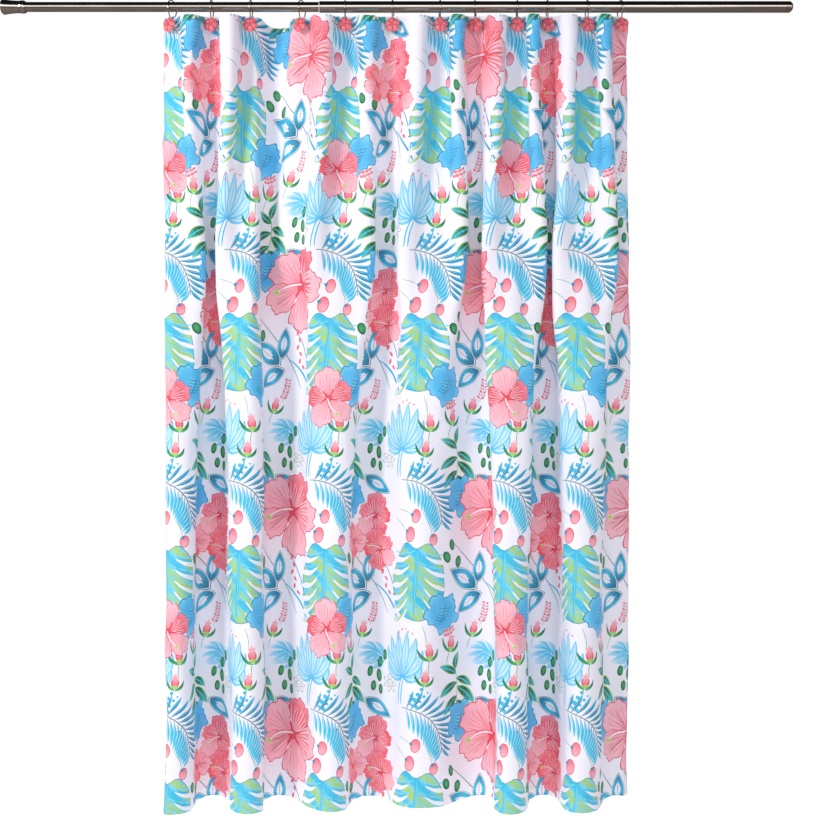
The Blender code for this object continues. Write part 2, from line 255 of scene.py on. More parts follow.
def clothRow(drop, fine=40):
    paired = float(smoothShare(drop, *cloth["merge"]))
    flapX, flapY = flapPath(fine)
    flapStep = np.full(fine, cloth["firstHole"] / fine)
    stepsX, stepsY, lengths = [flapX[::-1]], [-flapY[::-1]], [flapStep]
    for number in range(hookCount - 1):
        topWidth = hookX[number + 1] - hookX[number]
        width = topWidth * (1 - paired) + cloth["hemGap"][number] * paired
        dx, dy = intervalPath(number, fine, paired, width)
        stepsX.append(dx)
        stepsY.append(dy)
        lengths.append(np.full(fine, pitch / fine))
    stepsX.append(flapX)
    stepsY.append(flapY)
    lengths.append(flapStep)
    s, x, y = (np.concatenate([[0], np.cumsum(np.concatenate(p))]) for p in (lengths, stepsX, stepsY))
    x += hookX[0] + cloth["hemLeft"] * paired - x[fine]
    valleys = [fine * (k + 1) for k in range(1, hookCount, 2)]
    level = 0.0015 * (1 - paired) + cloth["hemBack"] * paired
    y -= np.interp(s, s[valleys], y[valleys] - level)
    return s, x, y


# places of an even grid of the flat cloth's points, rows from the top edge down
def hangGrid():
    columns = np.linspace(0, cloth["size"], cloth["columns"] + 1)
    drops = np.linspace(0, cloth["size"], cloth["rows"] + 1)
    between = (columns - cloth["firstHole"]) / pitch
    inside = (between >= 0) & (between <= hookCount - 1)
    sag = np.where(inside, cloth["topSag"] * np.sin(np.pi * between) ** 2, 0.003)
    grid = np.zeros((len(drops), len(columns), 3))
    for row, drop in enumerate(drops):
        s, x, y = clothRow(drop)
        fade = 1 - 0.6 * min(drop / 0.3, 1)
        grid[row, :, 0] = np.interp(columns, s, x)
        grid[row, :, 1] = np.interp(columns, s, y)
        grid[row, :, 2] = -cloth["topDrop"] - sag * fade - drop
    return grid


settle = {
    "frames": 24,
    "most": 0.012,                                 # how far a point may end up from the folds it starts in
    "stiffness": (30, 30, 8, 0.6),                 # stretch, compression, shear and bending
    "damping": 4,
    "vertexMass": 0.02,
    "pinReach": 0.014,                             # round each buttonhole
}


# lets the folded cloth settle under gravity from its twelve buttonholes; its rest shape is the flat cut
def settled(grid):
    rows, columns = grid.shape[0], grid.shape[1]
    u, v = np.meshgrid(np.linspace(0, cloth["size"], columns), np.linspace(0, cloth["size"], rows))
    flat = np.stack([u.ravel(), np.zeros(u.size), -v.ravel()], 1)
    corners = np.arange(rows * columns).reshape(rows, columns)
    quads = np.stack([corners[:-1, :-1], corners[1:, :-1], corners[1:, 1:], corners[:-1, 1:]],
                     -1).reshape(-1, 4)
    mesh = bpy.data.meshes.new("settling")
    mesh.from_pydata(grid.reshape(-1, 3).tolist(), [], quads.tolist())
    thing = bpy.data.objects.new("settling", mesh)
    bpy.context.collection.objects.link(thing)
    thing.shape_key_add(name="hang")
    rest = thing.shape_key_add(name="cut")
    rest.data.foreach_set("co", flat.reshape(-1))
    hole = np.min([np.hypot(u - cloth["firstHole"] - n * pitch, v - 0.0165) for n in range(hookCount)],
                  axis=0).ravel()
    pins = thing.vertex_groups.new(name="pins")
    pins.add(np.flatnonzero(hole < settle["pinReach"]).tolist(), 1.0, "REPLACE")
    modifier = thing.modifiers.new("settle", "CLOTH")
    rules = modifier.settings
    rules.quality = 6
    rules.mass = settle["vertexMass"]
    tension, compression, shear, bending = settle["stiffness"]
    rules.tension_stiffness = tension
    rules.compression_stiffness = compression
    rules.shear_stiffness = shear
    rules.bending_stiffness = bending
    rules.air_damping = settle["damping"]
    rules.vertex_group_mass = "pins"
    rules.rest_shape_key = rest
    modifier.collision_settings.use_collision = False
    modifier.point_cache.frame_start, modifier.point_cache.frame_end = 1, settle["frames"]
    for step in range(1, settle["frames"] + 1):
        bpy.context.scene.frame_set(step)
    done = thing.evaluated_get(bpy.context.evaluated_depsgraph_get())
    moved = np.empty(rows * columns * 3)
    done.data.vertices.foreach_get("co", moved)
    shift = moved.reshape(grid.shape) - grid
    length = np.linalg.norm(shift, axis=2, keepdims=True)
    bpy.data.objects.remove(thing)
    bpy.context.scene.frame_set(1)
    print("cloth settled by mm, mean and most", round(float(length.mean()) * 1000, 1),
          round(float(length.max()) * 1000, 1))
    # none beside a hook
    allowed = settle["most"] * np.clip((hole.reshape(rows, columns, 1) - 0.014) / 0.060, 0, 1)
    return grid + shift * np.minimum(1, allowed / np.maximum(length, 1e-9))


creases = {
    "soft": [(0.0016, 11.0, 3.1, 0.4), (0.0012, -17.0, 6.3, 2.0), (0.0008, 31.0, 9.7, 4.4),
             (0.0006, 23.0, -19.0, 1.1)],
    "pucker": 0.00055,                             # along the sewing, each about 13 mm long
    "hemRise": 0.00045,
}


# how far the cloth stands out from its smooth hang at points of the flat cloth
def creased(flat):
    u, v = flat[:, 0], flat[:, 1]
    size = cloth["size"]
    out = sum(height * np.sin(across * u * 2 + down * v * 2 + start + 1.3 * np.sin(4.1 * v + 2.3 * u))
              for height, across, down, start in creases["soft"])
    top, bottom, side = sewing["hems"]
    for gap, along in ((np.abs(v - top), u), (np.abs(size - bottom - v), u), (np.abs(u - side), v),
                       (np.abs(size - side - u), v)):
        wave = np.sin(2 * np.pi * along / 0.013 + 1.7 * np.sin(37 * along)) * (0.6
                                                                               + 0.4 * np.sin(19 * along))
        out = out + creases["pucker"] * wave * np.exp(-((gap / 0.010) ** 2))
    inHem = (v < top) | (v > size - bottom) | (u < side) | (u > size - side)
    edge = np.minimum.reduce([np.abs(v - top), np.abs(size - bottom - v), np.abs(u - side),
                              np.abs(size - side - u)])
    step = np.where(inHem, 0.5, -0.5) * np.minimum(edge / 0.0012, 1) + 0.5
    hook = np.minimum.reduce([np.hypot(u - cloth["firstHole"] - n * pitch, v - 0.016)
                              for n in range(hookCount)])
    return (out + creases["hemRise"] * step) * np.clip((hook - 0.012) / 0.02, 0, 1)


def cubicWeights(t):
    return np.stack([
        -0.5 * t + t ** 2 - 0.5 * t ** 3,
        1 - 2.5 * t ** 2 + 1.5 * t ** 3,
        0.5 * t + 2 * t ** 2 - 1.5 * t ** 3,
        -0.5 * t ** 2 + 0.5 * t ** 3,
    ], axis=-1)


# places on the hanging cloth of points of the flat cloth, creases and all unless smooth is asked for
def onCloth(grid, flat, smooth=False):
    if not smooth:
        out = clothNormals(grid, flat)[0]
        return onCloth(grid, flat, True) + out * creased(flat)[:, None]
    rows, columns = grid.shape[0] - 1, grid.shape[1] - 1
    padded = np.pad(grid, ((1, 1), (1, 1), (0, 0)), mode="reflect", reflect_type="odd")
    across = np.clip(flat[:, 0] / cloth["size"] * columns, 0, columns - 1e-9)
    down = np.clip(flat[:, 1] / cloth["size"] * rows, 0, rows - 1e-9)
    column, row = across.astype(int), down.astype(int)
    wc, wr = cubicWeights(across - column), cubicWeights(down - row)
    place = np.zeros((len(flat), 3))
    for r in range(4):
        for c in range(4):
            place += padded[row + r, column + c] * (wr[:, r] * wc[:, c])[:, None]
    return place


ink = {name: linear(tone) for name, tone in {
    "ground": "F6F4FC", "pale": "FCBEC9", "pink": "FA97A6", "coral": "F5606F", "rose": "E03F55",
    "outline": "DD5570", "turquoise": "38C2E6", "cyan": "7AD8F5", "sky": "55BDF0", "deepSky": "1A90CC",
    "teal": "108FB8", "deepTeal": "0A6A90", "emerald": "0F8A58", "green": "4DB468", "darkGreen": "0A5A38",
    "lime": "ABD46E", "paleLime": "CFE69A", "paleBlue": "A9DCF8", "mistBlue": "D2ECFB", "jade": "169C9A",
    "grey": "6E8C8C",
}.items()}
shapes = []                                        # (outline, ink function), later ones on top


def flatInk(colour):
    return lambda p: np.tile(ink[colour], (len(p), 1))


# colours along a run of tones, share from 0 to 1
def fade(share, tones):
    share = np.clip(share, 0, 1) * (len(tones) - 1)
    first = np.minimum(share.astype(int), len(tones) - 2)
    part = (share - first)[:, None]
    table = np.array([ink[t] for t in tones])
    return table[first] * (1 - part) + table[first + 1] * part


def roundInk(centre, reach, *tones):
    return lambda p: fade(np.hypot(*(p - centre).T) / reach, tones)


def alongInk(start, end, *tones):
    run = np.subtract(end, start)
    return lambda p: fade((p - start) @ run / (run @ run), tones)


# adds a shape, its corners counter-clockwise and those that bend the line by under 0.3 mm left out
def draw(outline, paint):
    outline = np.asarray(outline, float)
    nextOne = np.roll(outline, -1, axis=0)
    if (outline[:, 0] * nextOne[:, 1] - outline[:, 1] * nextOne[:, 0]).sum() < 0:
        outline = outline[::-1]
    corners = list(outline)
    while len(corners) > 4:
        at = np.array(corners)
        before, after = np.roll(at, 1, axis=0), np.roll(at, -1, axis=0)
        run = after - before
        step = at - before
        bend = np.abs(run[:, 0] * step[:, 1] - run[:, 1] * step[:, 0]) / np.maximum(np.hypot(*run.T), 1e-6)
        if bend.min() > 0.3:
            break
        corners.pop(int(bend.argmin()))
    shapes.append((np.array(corners), paint))


def away(point, length, degrees):
    angle = math.radians(degrees)
    return np.array([point[0] + length * math.cos(angle), point[1] + length * math.sin(angle)])


# points of a curve from start to end that bows aside by rise
def bow(start, end, rise, count=9):
    start, end = np.asarray(start, float), np.asarray(end, float)
    run = end - start
    side = np.array([-run[1], run[0]]) / max(np.hypot(*run), 1e-6)
    t = np.linspace(0, 1, count)[:, None]
    return start + run * t + side * rise * 4 * t * (1 - t)


# a brush line that swells in its middle; thin is its width at the ends, as a share
def stroke(path, wide, paint, thin=0.3):
    path = np.asarray(path, float)
    run = np.gradient(path, axis=0)
    side = np.stack([-run[:, 1], run[:, 0]], 1) / np.maximum(np.hypot(*run.T), 1e-6)[:, None]
    t = np.linspace(0, 1, len(path))
    half = wide / 2 * (thin + (1 - thin) * np.sin(np.pi * t) ** 0.7)
    draw(np.concatenate([path + side * half[:, None], (path - side * half[:, None])[::-1]]), paint)


# a pointed leaf from start to end, fullest at fullAt of its length
def leafOutline(start, end, wide, rise=0, count=9, fullAt=0.45):
    path = bow(start, end, rise, count)
    run = np.gradient(path, axis=0)
    side = np.stack([-run[:, 1], run[:, 0]], 1) / np.hypot(*run.T)[:, None]
    t = np.linspace(0, 1, count)
    power = math.log(0.5) / math.log(fullAt)
    half = (wide / 2 * np.sin(np.pi * t ** power) ** 0.85)[:, None]
    return np.concatenate([path + side * half, (path - side * half)[-2:0:-1]])


def ovalOutline(centre, wide, high, tilt=0, count=12):
    t = np.linspace(0, 2 * np.pi, count, endpoint=False)
    x, y = np.cos(t) * wide / 2, np.sin(t) * high / 2
    a = math.radians(tilt)
    return np.stack([centre[0] + x * math.cos(a) - y * math.sin(a),
                     centre[1] + x * math.sin(a) + y * math.cos(a)], 1)


def shrink(outline, share):
    middle = outline.mean(0)
    return middle + (outline - middle) * share


# a ruffled petal: its root, its two sides and a scalloped end, then veins that fan out
def petal(centre, reach, heading, half, seed, tones):
    inner, middle, edge, vein = tones
    t = np.linspace(-1, 1, 21)
    ruffle = 1 - 0.24 * np.abs(t) ** 2.6 + 0.04 * np.sin(9 * t + seed) + 0.03 * np.sin(19 * t + 2 * seed)
    end = [away(centre, reach * r, heading + half * a * 0.92) for a, r in zip(t, ruffle)]
    left, right = heading - half, heading + half
    outline = np.array([away(centre, reach * 0.05, heading + 90), away(centre, reach * 0.05, heading - 90),
                        away(centre, reach * 0.28, left + half * 0.35), away(centre, reach * 0.52, left)]
                       + end
                       + [away(centre, reach * 0.52, right),
                          away(centre, reach * 0.28, right - half * 0.35)])
    middlePoint = away(centre, reach * 0.55, heading)
    draw(middlePoint + (outline - middlePoint) * 1.05, flatInk("outline"))
    draw(middlePoint + (outline - middlePoint) * 0.985,
         roundInk(centre, reach, inner, middle, middle, edge))
    for k in range(-3, 4):
        long = reach * (0.86 - 0.045 * abs(k) + 0.05 * math.sin(5 * k + seed))
        path = bow(away(centre, reach * 0.12, heading + k * 5),
                   away(centre, long, heading + k * half * 0.25), k * 1.2, 7)
        stroke(path, max(1.7, reach * 0.034), flatInk(vein), 0.15)
        if k % 2 == 0:
            fork = path[4]
            stroke(bow(fork, away(fork, reach * 0.24, heading + k * half * 0.25 + 17), 1, 4),
                   reach * 0.02, flatInk(vein), 0.2)


# tones: for each petal (inner, middle, edge, vein)
def hibiscus(centre, size, turn, tones, count=5):
    for n in [0, 2, 4, 1, 3][:count]:
        reach = size / 2 * (1 + 0.12 * math.sin(2.3 * n + turn))
        petal(centre, reach, turn + 360 / count * n, 180 / count * (1.02 + 0.10 * math.sin(4 * n + size)),
              n + turn,
              tones[n % len(tones)])
    draw(ovalOutline(centre, size * 0.14, size * 0.12, turn, 12),
         roundInk(np.array(centre), size * 0.09, "rose", "coral"))
    for n in range(count):
        stroke(bow(centre, away(centre, size * 0.18, turn + 36 + 360 / count * n), 1, 5), size * 0.032,
               flatInk("rose"), 0.2)
    tip = away(centre, size * 0.33, turn - 128)
    for aside, tone in ((0.014, "coral"), (0, "ground")):
        stroke(bow(away(centre, size * (0.02 + aside), turn), tip, size * 0.03, 8),
               size * (0.024 + aside), flatInk(tone), 0.7)
    for k in range(6):
        draw(ovalOutline(away(tip, size * 0.032, 60 * k), size * 0.026, size * 0.026, 0, 6),
             flatInk("paleLime"))
    draw(ovalOutline(tip, size * 0.05, size * 0.04, 0, 8), flatInk("lime"))


def palm(base, tip, rise, long, count=12):
    rib = bow(base, tip, rise, count + 3)
    heading = np.degrees(np.arctan2(*np.gradient(rib, axis=0).T[::-1]))
    for n in range(1, count + 2):
        share = n / (count + 1)
        size = long * (0.55 + 0.75 * math.sin(math.pi * (0.15 + 0.75 * share)) ** 1.2)
        for side in (-1, 1):
            turn = heading[n] + side * (74 - 34 * share)
            end = away(rib[n], size * (1.0 if side < 0 else 1.08), turn)
            leaf = leafOutline(rib[n], end, long * 0.165, -side * size * 0.06, 8, 0.55)
            tones = ("deepTeal", "teal", "turquoise") if side < 0 else ("teal", "turquoise", "turquoise",
                                                                        "cyan")
            draw(leaf, alongInk(rib[n], end, *tones))
            stroke(bow(rib[n], away(rib[n], size * 0.8, turn + 2 * side), -side * size * 0.05, 5),
                   long * 0.03,
                   flatInk("cyan" if side < 0 else "mistBlue"), 0.2)
    stroke(rib, 2.6, flatInk("grey"), 0.6)


# a stem of seven broad leaves, each edged in lime
def sprig(top):
    path = bow(top, (top[0] + 2, top[1] + 96), -7, 10)
    stroke(path, 2.6, flatInk("lime"), 0.5)
    leaves = [(0, -78, 40, 17), (1, -158, 52, 21), (2, 34, 48, 20), (3, 152, 60, 23), (4, 46, 66, 24),
              (6, 138, 58, 23),
              (7, 60, 62, 24), (9, 100, 56, 22)]
    for at, turn, long, wide in leaves:
        start, side = path[at], 4 if turn > 90 or turn < -90 else -4
        end = away(start, long, turn)
        draw(leafOutline(start, away(end, 3, turn), wide, side, 12), flatInk("lime"))
        draw(leafOutline(start, end, wide * 0.80, side, 12),
             alongInk(start, end, "emerald", "darkGreen", "jade", "turquoise"))
        rib = bow(start, away(start, long * 0.9, turn), side, 11)
        stroke(rib, 2.0, flatInk("cyan"), 0.2)
        for k in (2, 4, 6, 8):
            for aside in (-40, 40):
                stroke(bow(rib[k], away(rib[k], wide * 0.36, turn + aside), 0, 3), 1.3, flatInk("green"),
                       0.3)


def oval(centre, wide, high, tilt=0):
    draw(ovalOutline(centre, wide, high, tilt), flatInk("darkGreen"))
    draw(ovalOutline((centre[0] + 0.8, centre[1] - 0.4), wide * 0.72, high * 0.78, tilt, 10),
         roundInk(np.array(centre), high * 0.45, "green", "emerald"))


def jagged(outline, depth, share):
    inner = shrink(outline, share)
    middle = inner.mean(0)
    wave = np.where(np.arange(len(inner)) % 2 == 0, 1 + depth, 1 - depth)[:, None]
    return middle + (inner - middle) * wave


def edgedLeaf(start, end, wide, rise=0):
    base = leafOutline(start, end, wide, rise, 13)
    draw(shrink(base, 1.12), flatInk("grey"))
    draw(shrink(base, 1.06), flatInk("ground"))
    draw(base, alongInk(start, end, "deepTeal", "turquoise", "teal"))
    draw(jagged(base, 0.12, 0.50), flatInk("ground"))
    stroke(bow(start, away(start, np.hypot(*np.subtract(end, start)) * 0.8,
                           math.degrees(math.atan2(end[1] - start[1], end[0] - start[0]))), rise, 5), 1.0,
           flatInk("grey"), 0.3)


# heart-shaped leaf hanging from its notch at the top, cut by slits between its lobes
def monstera(top, long, lean=0, wide=0.72):
    count = 40
    middle = np.array([top[0], top[1] + long * 0.46])
    tilt = math.radians(lean)

    def place(x, y):
        return (middle[0] + x * math.cos(tilt) - y * math.sin(tilt),
                middle[1] + x * math.sin(tilt) + y * math.cos(tilt))

    outline = []
    for n in range(count):
        t = 2 * math.pi * n / count
        x = math.sin(t) * (1 - 0.16 * math.cos(t)) * long * wide / 2
        y = -math.cos(t) * long * 0.52
        notch = max(0, math.cos(t)) ** 14 * long * 0.16
        wave = 1 + 0.02 * math.sin(7 * t)
        outline.append(place(x * wave, y * wave + notch))
    outline = np.array(outline)
    heart = np.array(place(0, long * 0.06))
    draw(heart + (outline - heart) * 1.02, flatInk("teal"))
    draw(outline, lambda p: fade(0.60 + 0.36 * np.sin((p[:, 1] - 0.9 * p[:, 0]) / 11)
                                 + (p[:, 1] - heart[1]) / long * 0.6,
                                 ("turquoise", "turquoise", "cyan", "lime", "lime", "turquoise")))
    for side in (-1, 1):
        for k in range(6):
            y0 = long * (-0.34 + 0.13 * k)
            root = place(side * long * 0.030, y0)
            end = place(side * long * wide * 0.47, y0 + long * (0.02 + 0.045 * k))
            stroke(bow(root, end, side * long * 0.03, 7), long * 0.022, flatInk("cyan"), 0.4)
            y1 = y0 + long * 0.055
            inside = place(side * long * 0.10, y1 + long * 0.01)
            edge = place(side * long * wide * 0.56, y1 + long * (0.06 + 0.045 * k))
            slit = leafOutline(edge, inside, long * (0.075 if side < 0 else 0.055), -side * long * 0.03,
                               8, 0.36)
            draw(slit, flatInk("ground"))
            stroke(bow(place(side * long * 0.12, y1 - long * 0.022),
                       place(side * long * wide * 0.43, y1 + long * (0.01 + 0.04 * k)),
                       side * long * 0.03, 6), long * 0.030, flatInk("lime" if k > 1 else "turquoise"), 0.2)
    stroke(bow(place(0, -long * 0.36), place(0, long * 0.47), 2, 10), long * 0.035, flatInk("turquoise"),
           0.3)
    stroke(bow(place(long * 0.006, -long * 0.34), place(long * 0.006, long * 0.40), 2, 10), long * 0.012,
           flatInk("cyan"), 0.3)


# a ruffled blue leaf-flower with a feathered dark vein
def skyLeaf(centre, wide, high, turn=0):
    count = 54
    outline = []
    for n in range(count):
        t = 2 * math.pi * n / count
        lobes = 1 + 0.13 * math.cos(5 * t + 0.5) + 0.07 * math.cos(9 * t) + 0.05 * math.cos(16 * t)
        outline.append((centre[0] + wide / 2 * lobes * math.cos(t + math.radians(turn)),
                        centre[1] + high / 2 * lobes * math.sin(t + math.radians(turn))))
    outline = np.array(outline)
    draw(outline, flatInk("deepSky"))
    draw(shrink(outline, 0.94), roundInk(np.array(centre), high * 0.55, "cyan", "sky", "sky", "cyan"))
    low = (centre[0] - wide * 0.12, centre[1] + high * 0.30)
    high0 = (centre[0] + wide * 0.10, centre[1] - high * 0.22)
    stroke(bow(low, high0, 3, 7), 3.4, flatInk("deepSky"), 0.3)
    for k in range(1, 6):
        at = bow(low, high0, 3, 7)[k]
        for side, turn0 in ((-1, -150), (1, -35)):
            stroke(bow(at, away(at, wide * 0.20, turn0 + 6 * k * side), side * 2, 4), 2.4,
                   flatInk("teal"), 0.2)


# a fan of pale blades with deeper edges
def agave(base, long):
    blades = [(-146, 0.62), (-34, 0.62), (-130, 0.86), (-50, 0.86), (-113, 1.02), (-67, 1.02),
              (-98, 1.12), (-82, 1.10)]
    for n, (turn, share) in enumerate(blades):
        end, curl = away(base, long * share, turn), (turn + 90) * 0.30
        draw(leafOutline(base, end, long * 0.25, curl, 12, 0.5),
             alongInk(base, end, "sky", "cyan", "cyan", "sky"))
        draw(leafOutline(away(base, long * 0.06, turn), away(base, long * share * 0.96, turn),
                         long * 0.16, curl, 10, 0.5),
             alongInk(base, end, "paleBlue", "mistBlue", "paleBlue"))
        stroke(bow(away(base, long * 0.10, turn), away(base, long * share * 0.92, turn), curl * 1.1, 8),
               long * 0.026,
               flatInk("cyan" if n % 2 else "sky"), 0.2)
    for side in (-5, 4):
        stroke(bow((base[0] + side, base[1] - 2), (base[0] + side - 10, base[1] + long * 0.62), 4, 7),
               3.6, flatInk("turquoise"), 0.5)


def dots(centre, spread):
    rows = [(-22, -34, 3), (-12, -20, 4), (6, -30, 3), (8, -12, 5), (-4, -4, 7), (12, 6, 4), (-14, 10, 8),
            (2, 16, 6),
            (-24, 24, 9), (-8, 30, 5), (-32, 38, 6), (-18, 44, 8), (-36, 14, 4)]
    for u, v, size in rows:
        at = (centre[0] + u * spread, centre[1] + v * spread)
        draw(ovalOutline(at, size * 1.25, size * 1.25, 0, 8),
             roundInk(np.array(at), size * 0.6, "sky", "turquoise"))


# a pink cup in a wide green V
def tulip(centre, size, lean=0):
    tip = away(centre, size * 0.66, -90 + lean)
    root = away(centre, size * 0.44, 90 + lean)
    for aside, rise, tone in ((-0.30, -0.06, "coral"), (0.30, -0.06, "coral"), (0.0, 0.16, "pink")):
        top = away(away(tip, size * aside, lean), size * rise, -90 + lean)
        draw(leafOutline(root, top, size * 0.42, -aside * 26, 11, 0.42),
             alongInk(root, tip, "rose", tone, "pale"))
    stem = away(root, size * 1.1, 100 + lean)
    stroke(bow(root, stem, 3, 5), 1.8, flatInk("green"), 0.5)
    draw(leafOutline(away(root, size * 0.34, 0), away(root, size * 0.34, 180), size * 0.30, 3, 8),
         flatInk("lime"))
    for side in (-1, 1):
        end = away(root, size * (1.25 if side < 0 else 1.0), -90 + side * 44 + lean)
        draw(leafOutline(away(root, size * 0.16, 90), end, size * 0.24, side * size * 0.20, 9, 0.4),
             alongInk(root, end, "green", "emerald", "darkGreen"))


def bud(centre, size, stemTurn):
    base = away(centre, size * 0.5, stemTurn)
    stroke(bow(base, away(base, size * 1.3, stemTurn), 2, 5), 1.3, flatInk("green"), 0.5)
    draw(ovalOutline(centre, size * 0.80, size * 1.1, 10, 14), flatInk("rose"))
    draw(ovalOutline(centre, size * 0.70, size, 10, 14),
         roundInk(away(centre, size * 0.3, 80), size * 0.85, "pale", "pink", "coral"))
    for k in (-32, 0, 32):
        stroke(bow(base, away(base, size * 0.30, stemTurn + 180 + k), 0, 4), 3.4, flatInk("teal"), 0.2)


def feather(base, long, lean=0):
    stroke(bow(base, away(base, long, -90 + lean), 4, 7), 1.2, flatInk("grey"), 0.4)
    for k in range(7):
        at = bow(base, away(base, long, -90 + lean), 4, 9)[k + 1]
        for side in (-1, 1):
            turn = -90 + lean + side * 42
            start = away(at, 2.5, turn)
            draw(leafOutline(start, away(start, 11 - k * 0.6, turn), 4.6, 0, 5),
                 flatInk("coral" if (k + side) % 2 else "pink"))


def dashes(path, tone, size):
    for k in range(len(path) - 1):
        turn = math.degrees(math.atan2(*(path[k + 1] - path[k])[::-1])) + (28 if k % 2 else -24)
        draw(leafOutline(path[k], away(path[k], size, turn), size * 0.42, 0, 6), flatInk(tone))


def mistSpray(base, long, lean):
    for k in range(5):
        turn = lean - 46 + 23 * k
        end = away(base, long * (0.75 + 0.25 * math.cos(k - 2)), turn)
        draw(leafOutline(base, end, long * 0.20, (k - 2) * 3, 9, 0.6),
             alongInk(base, end, "sky", "cyan", "paleBlue", "mistBlue"))
        stroke(bow(base, away(base, long * 0.7, turn), (k - 2) * 3, 6), 1.8, flatInk("turquoise"), 0.2)


def sketchFlower(centre, size):
    for k in range(7):
        at = away(centre, size * 0.30, 52 * k)
        ring = ovalOutline(at, size * 0.34, size * 0.20, 52 * k, 8)
        draw(ring, flatInk("grey"))
        draw(shrink(ring, 0.80), flatInk("ground"))
    draw(ovalOutline(centre, size * 0.14, size * 0.14, 0, 7), flatInk("paleLime"))


# the half repeat that comes every two hooks
def halfRepeat(u, v):
    mistSpray((u + 196, v + 440), 66, 188)
    agave((u + 262, v + 472), 100)
    dots((u + 318, v + 500), 0.85)
    sprig((u + 90, v + 458))
    for du, dv, w, h, tilt in ((197, 431, 10, 26, 0), (184, 450, 12, 26, 8), (160, 474, 13, 26, 10),
                               (182, 482, 13, 30, -4),
                               (168, 508, 13, 25, 6), (186, 514, 10, 24, 0)):
        oval((u + du, v + dv), w, h, tilt)
    sketchFlower((u + 214, v + 494), 46)
    palm((u - 58, v + 12), (u + 46, v + 118), -34, 50)
    skyLeaf((u + 104, v + 52), 74, 92, 20)
    edgedLeaf((u + 150, v + 10), (u + 212, v + 44), 34, 3)
    for du, dv, size, turn in ((300, 98, 30, -160), (284, 140, 34, -140), (24, 152, 26, -110),
                               (330, 60, 15, -60)):
        bud((u + du, v + dv), size, turn)
    stem = bow((u + 70, v + 150), (u + 206, v + 330), -14, 16)
    stroke(stem, 1.6, flatInk("darkGreen"), 0.6)
    for du, dv, w, h, tilt in ((76, 164, 17, 27, -14), (60, 192, 22, 28, -30), (98, 206, 19, 28, 6)):
        oval((u + du, v + dv), w, h, tilt)
    edgedLeaf((u + 148, v + 276), (u + 74, v + 224), 40, 4)
    edgedLeaf((u + 152, v + 262), (u + 158, v + 192), 28, 2)
    edgedLeaf((u + 160, v + 290), (u + 100, v + 326), 36, 4)
    stroke(bow((u + 168, v + 262), (u + 250, v + 350), -10, 9), 5.0,
           alongInk((u + 168, v + 262), (u + 250, v + 350), "turquoise", "teal"), 0.2)
    stroke(bow((u + 168, v + 180), (u + 232, v + 345), -24, 10), 2.6, flatInk("deepSky"), 0.3)
    dashes(bow((u + 194, v + 178), (u + 214, v + 290), 8, 8), "coral", 15)
    for k in range(7):
        draw(ovalOutline((u + 228 + 5 * math.sin(2.4 * k), v + 238 + 11 * k), 5.5, 5.5, 0, 7),
             flatInk("sky"))
    monstera((u + 300, v + 156), 186, 3, 0.76)
    skyLeaf((u + 50, v + 322), 92, 88, 100)
    feather((u + 158, v + 366), 58, 12)
    feather((u + 46, v + 372), 40, 70)
    mistSpray((u + 176, v + 426), 52, 170)
    dashes(bow((u + 262, v + 356), (u + 246, v + 392), 6, 4), "coral", 9)
    dashes(bow((u + 268, v + 358), (u + 296, v + 376), -4, 4), "pink", 9)
    stroke(bow((u + 6, v + 398), (u - 4, v + 350), 3, 6), 1.4, flatInk("green"), 0.5)
    for du, dv, size, lean in ((142, 374, 30, 14), (76, 396, 32, 8), (14, 414, 32, -6), (4, 474, 28, 4)):
        tulip((u + du, v + dv), size, lean)


warm = ("rose", "coral", "coral", "pale")
rosy = ("rose", "coral", "pink", "pale")
light = ("coral", "pale", "pale", "pink")
lightest = ("rose", "pale", "pale", "coral")


repeat = {
    "wide": 2 * pitch * 1000,                      # half of the full repeat; only the big flowers differ
    "tall": 529.0,
    "cells": (32, 44),                             # of the even net under the shapes
}


# the shapes of one half repeat, then the flowers of the first kind and of the second
def drawPrint():
    layers = []
    halfRepeat(0, 0)
    layers.append(list(shapes))
    shapes.clear()
    hibiscus((108, 158), 84, 20, [light, rosy, light, rosy, light])
    hibiscus((172, 104), 96, -80, [rosy, warm, warm, light, rosy])
    hibiscus((186, 182), 92, -40, [rosy, light, rosy, warm, rosy])
    layers.append(list(shapes))
    shapes.clear()
    hibiscus((190, 92), 186, -66, [rosy, lightest, light, light, light])
    hibiscus((306, 356), 124, -170, [warm, light, rosy, light, light])
    layers.append(list(shapes))
    return layers


# which points the outline winds round
def insideOf(outline, points):
    after = np.roll(outline, -1, axis=0)
    wind = np.zeros(len(points), int)
    for (x0, y0), (x1, y1) in zip(outline, after):
        left = (x1 - x0) * (points[:, 1] - y0) - (points[:, 0] - x0) * (y1 - y0)
        wind += ((y0 <= points[:, 1]) & (points[:, 1] < y1) & (left > 0)).astype(int)
        wind -= ((y1 <= points[:, 1]) & (points[:, 1] < y0) & (left < 0)).astype(int)
    return wind != 0


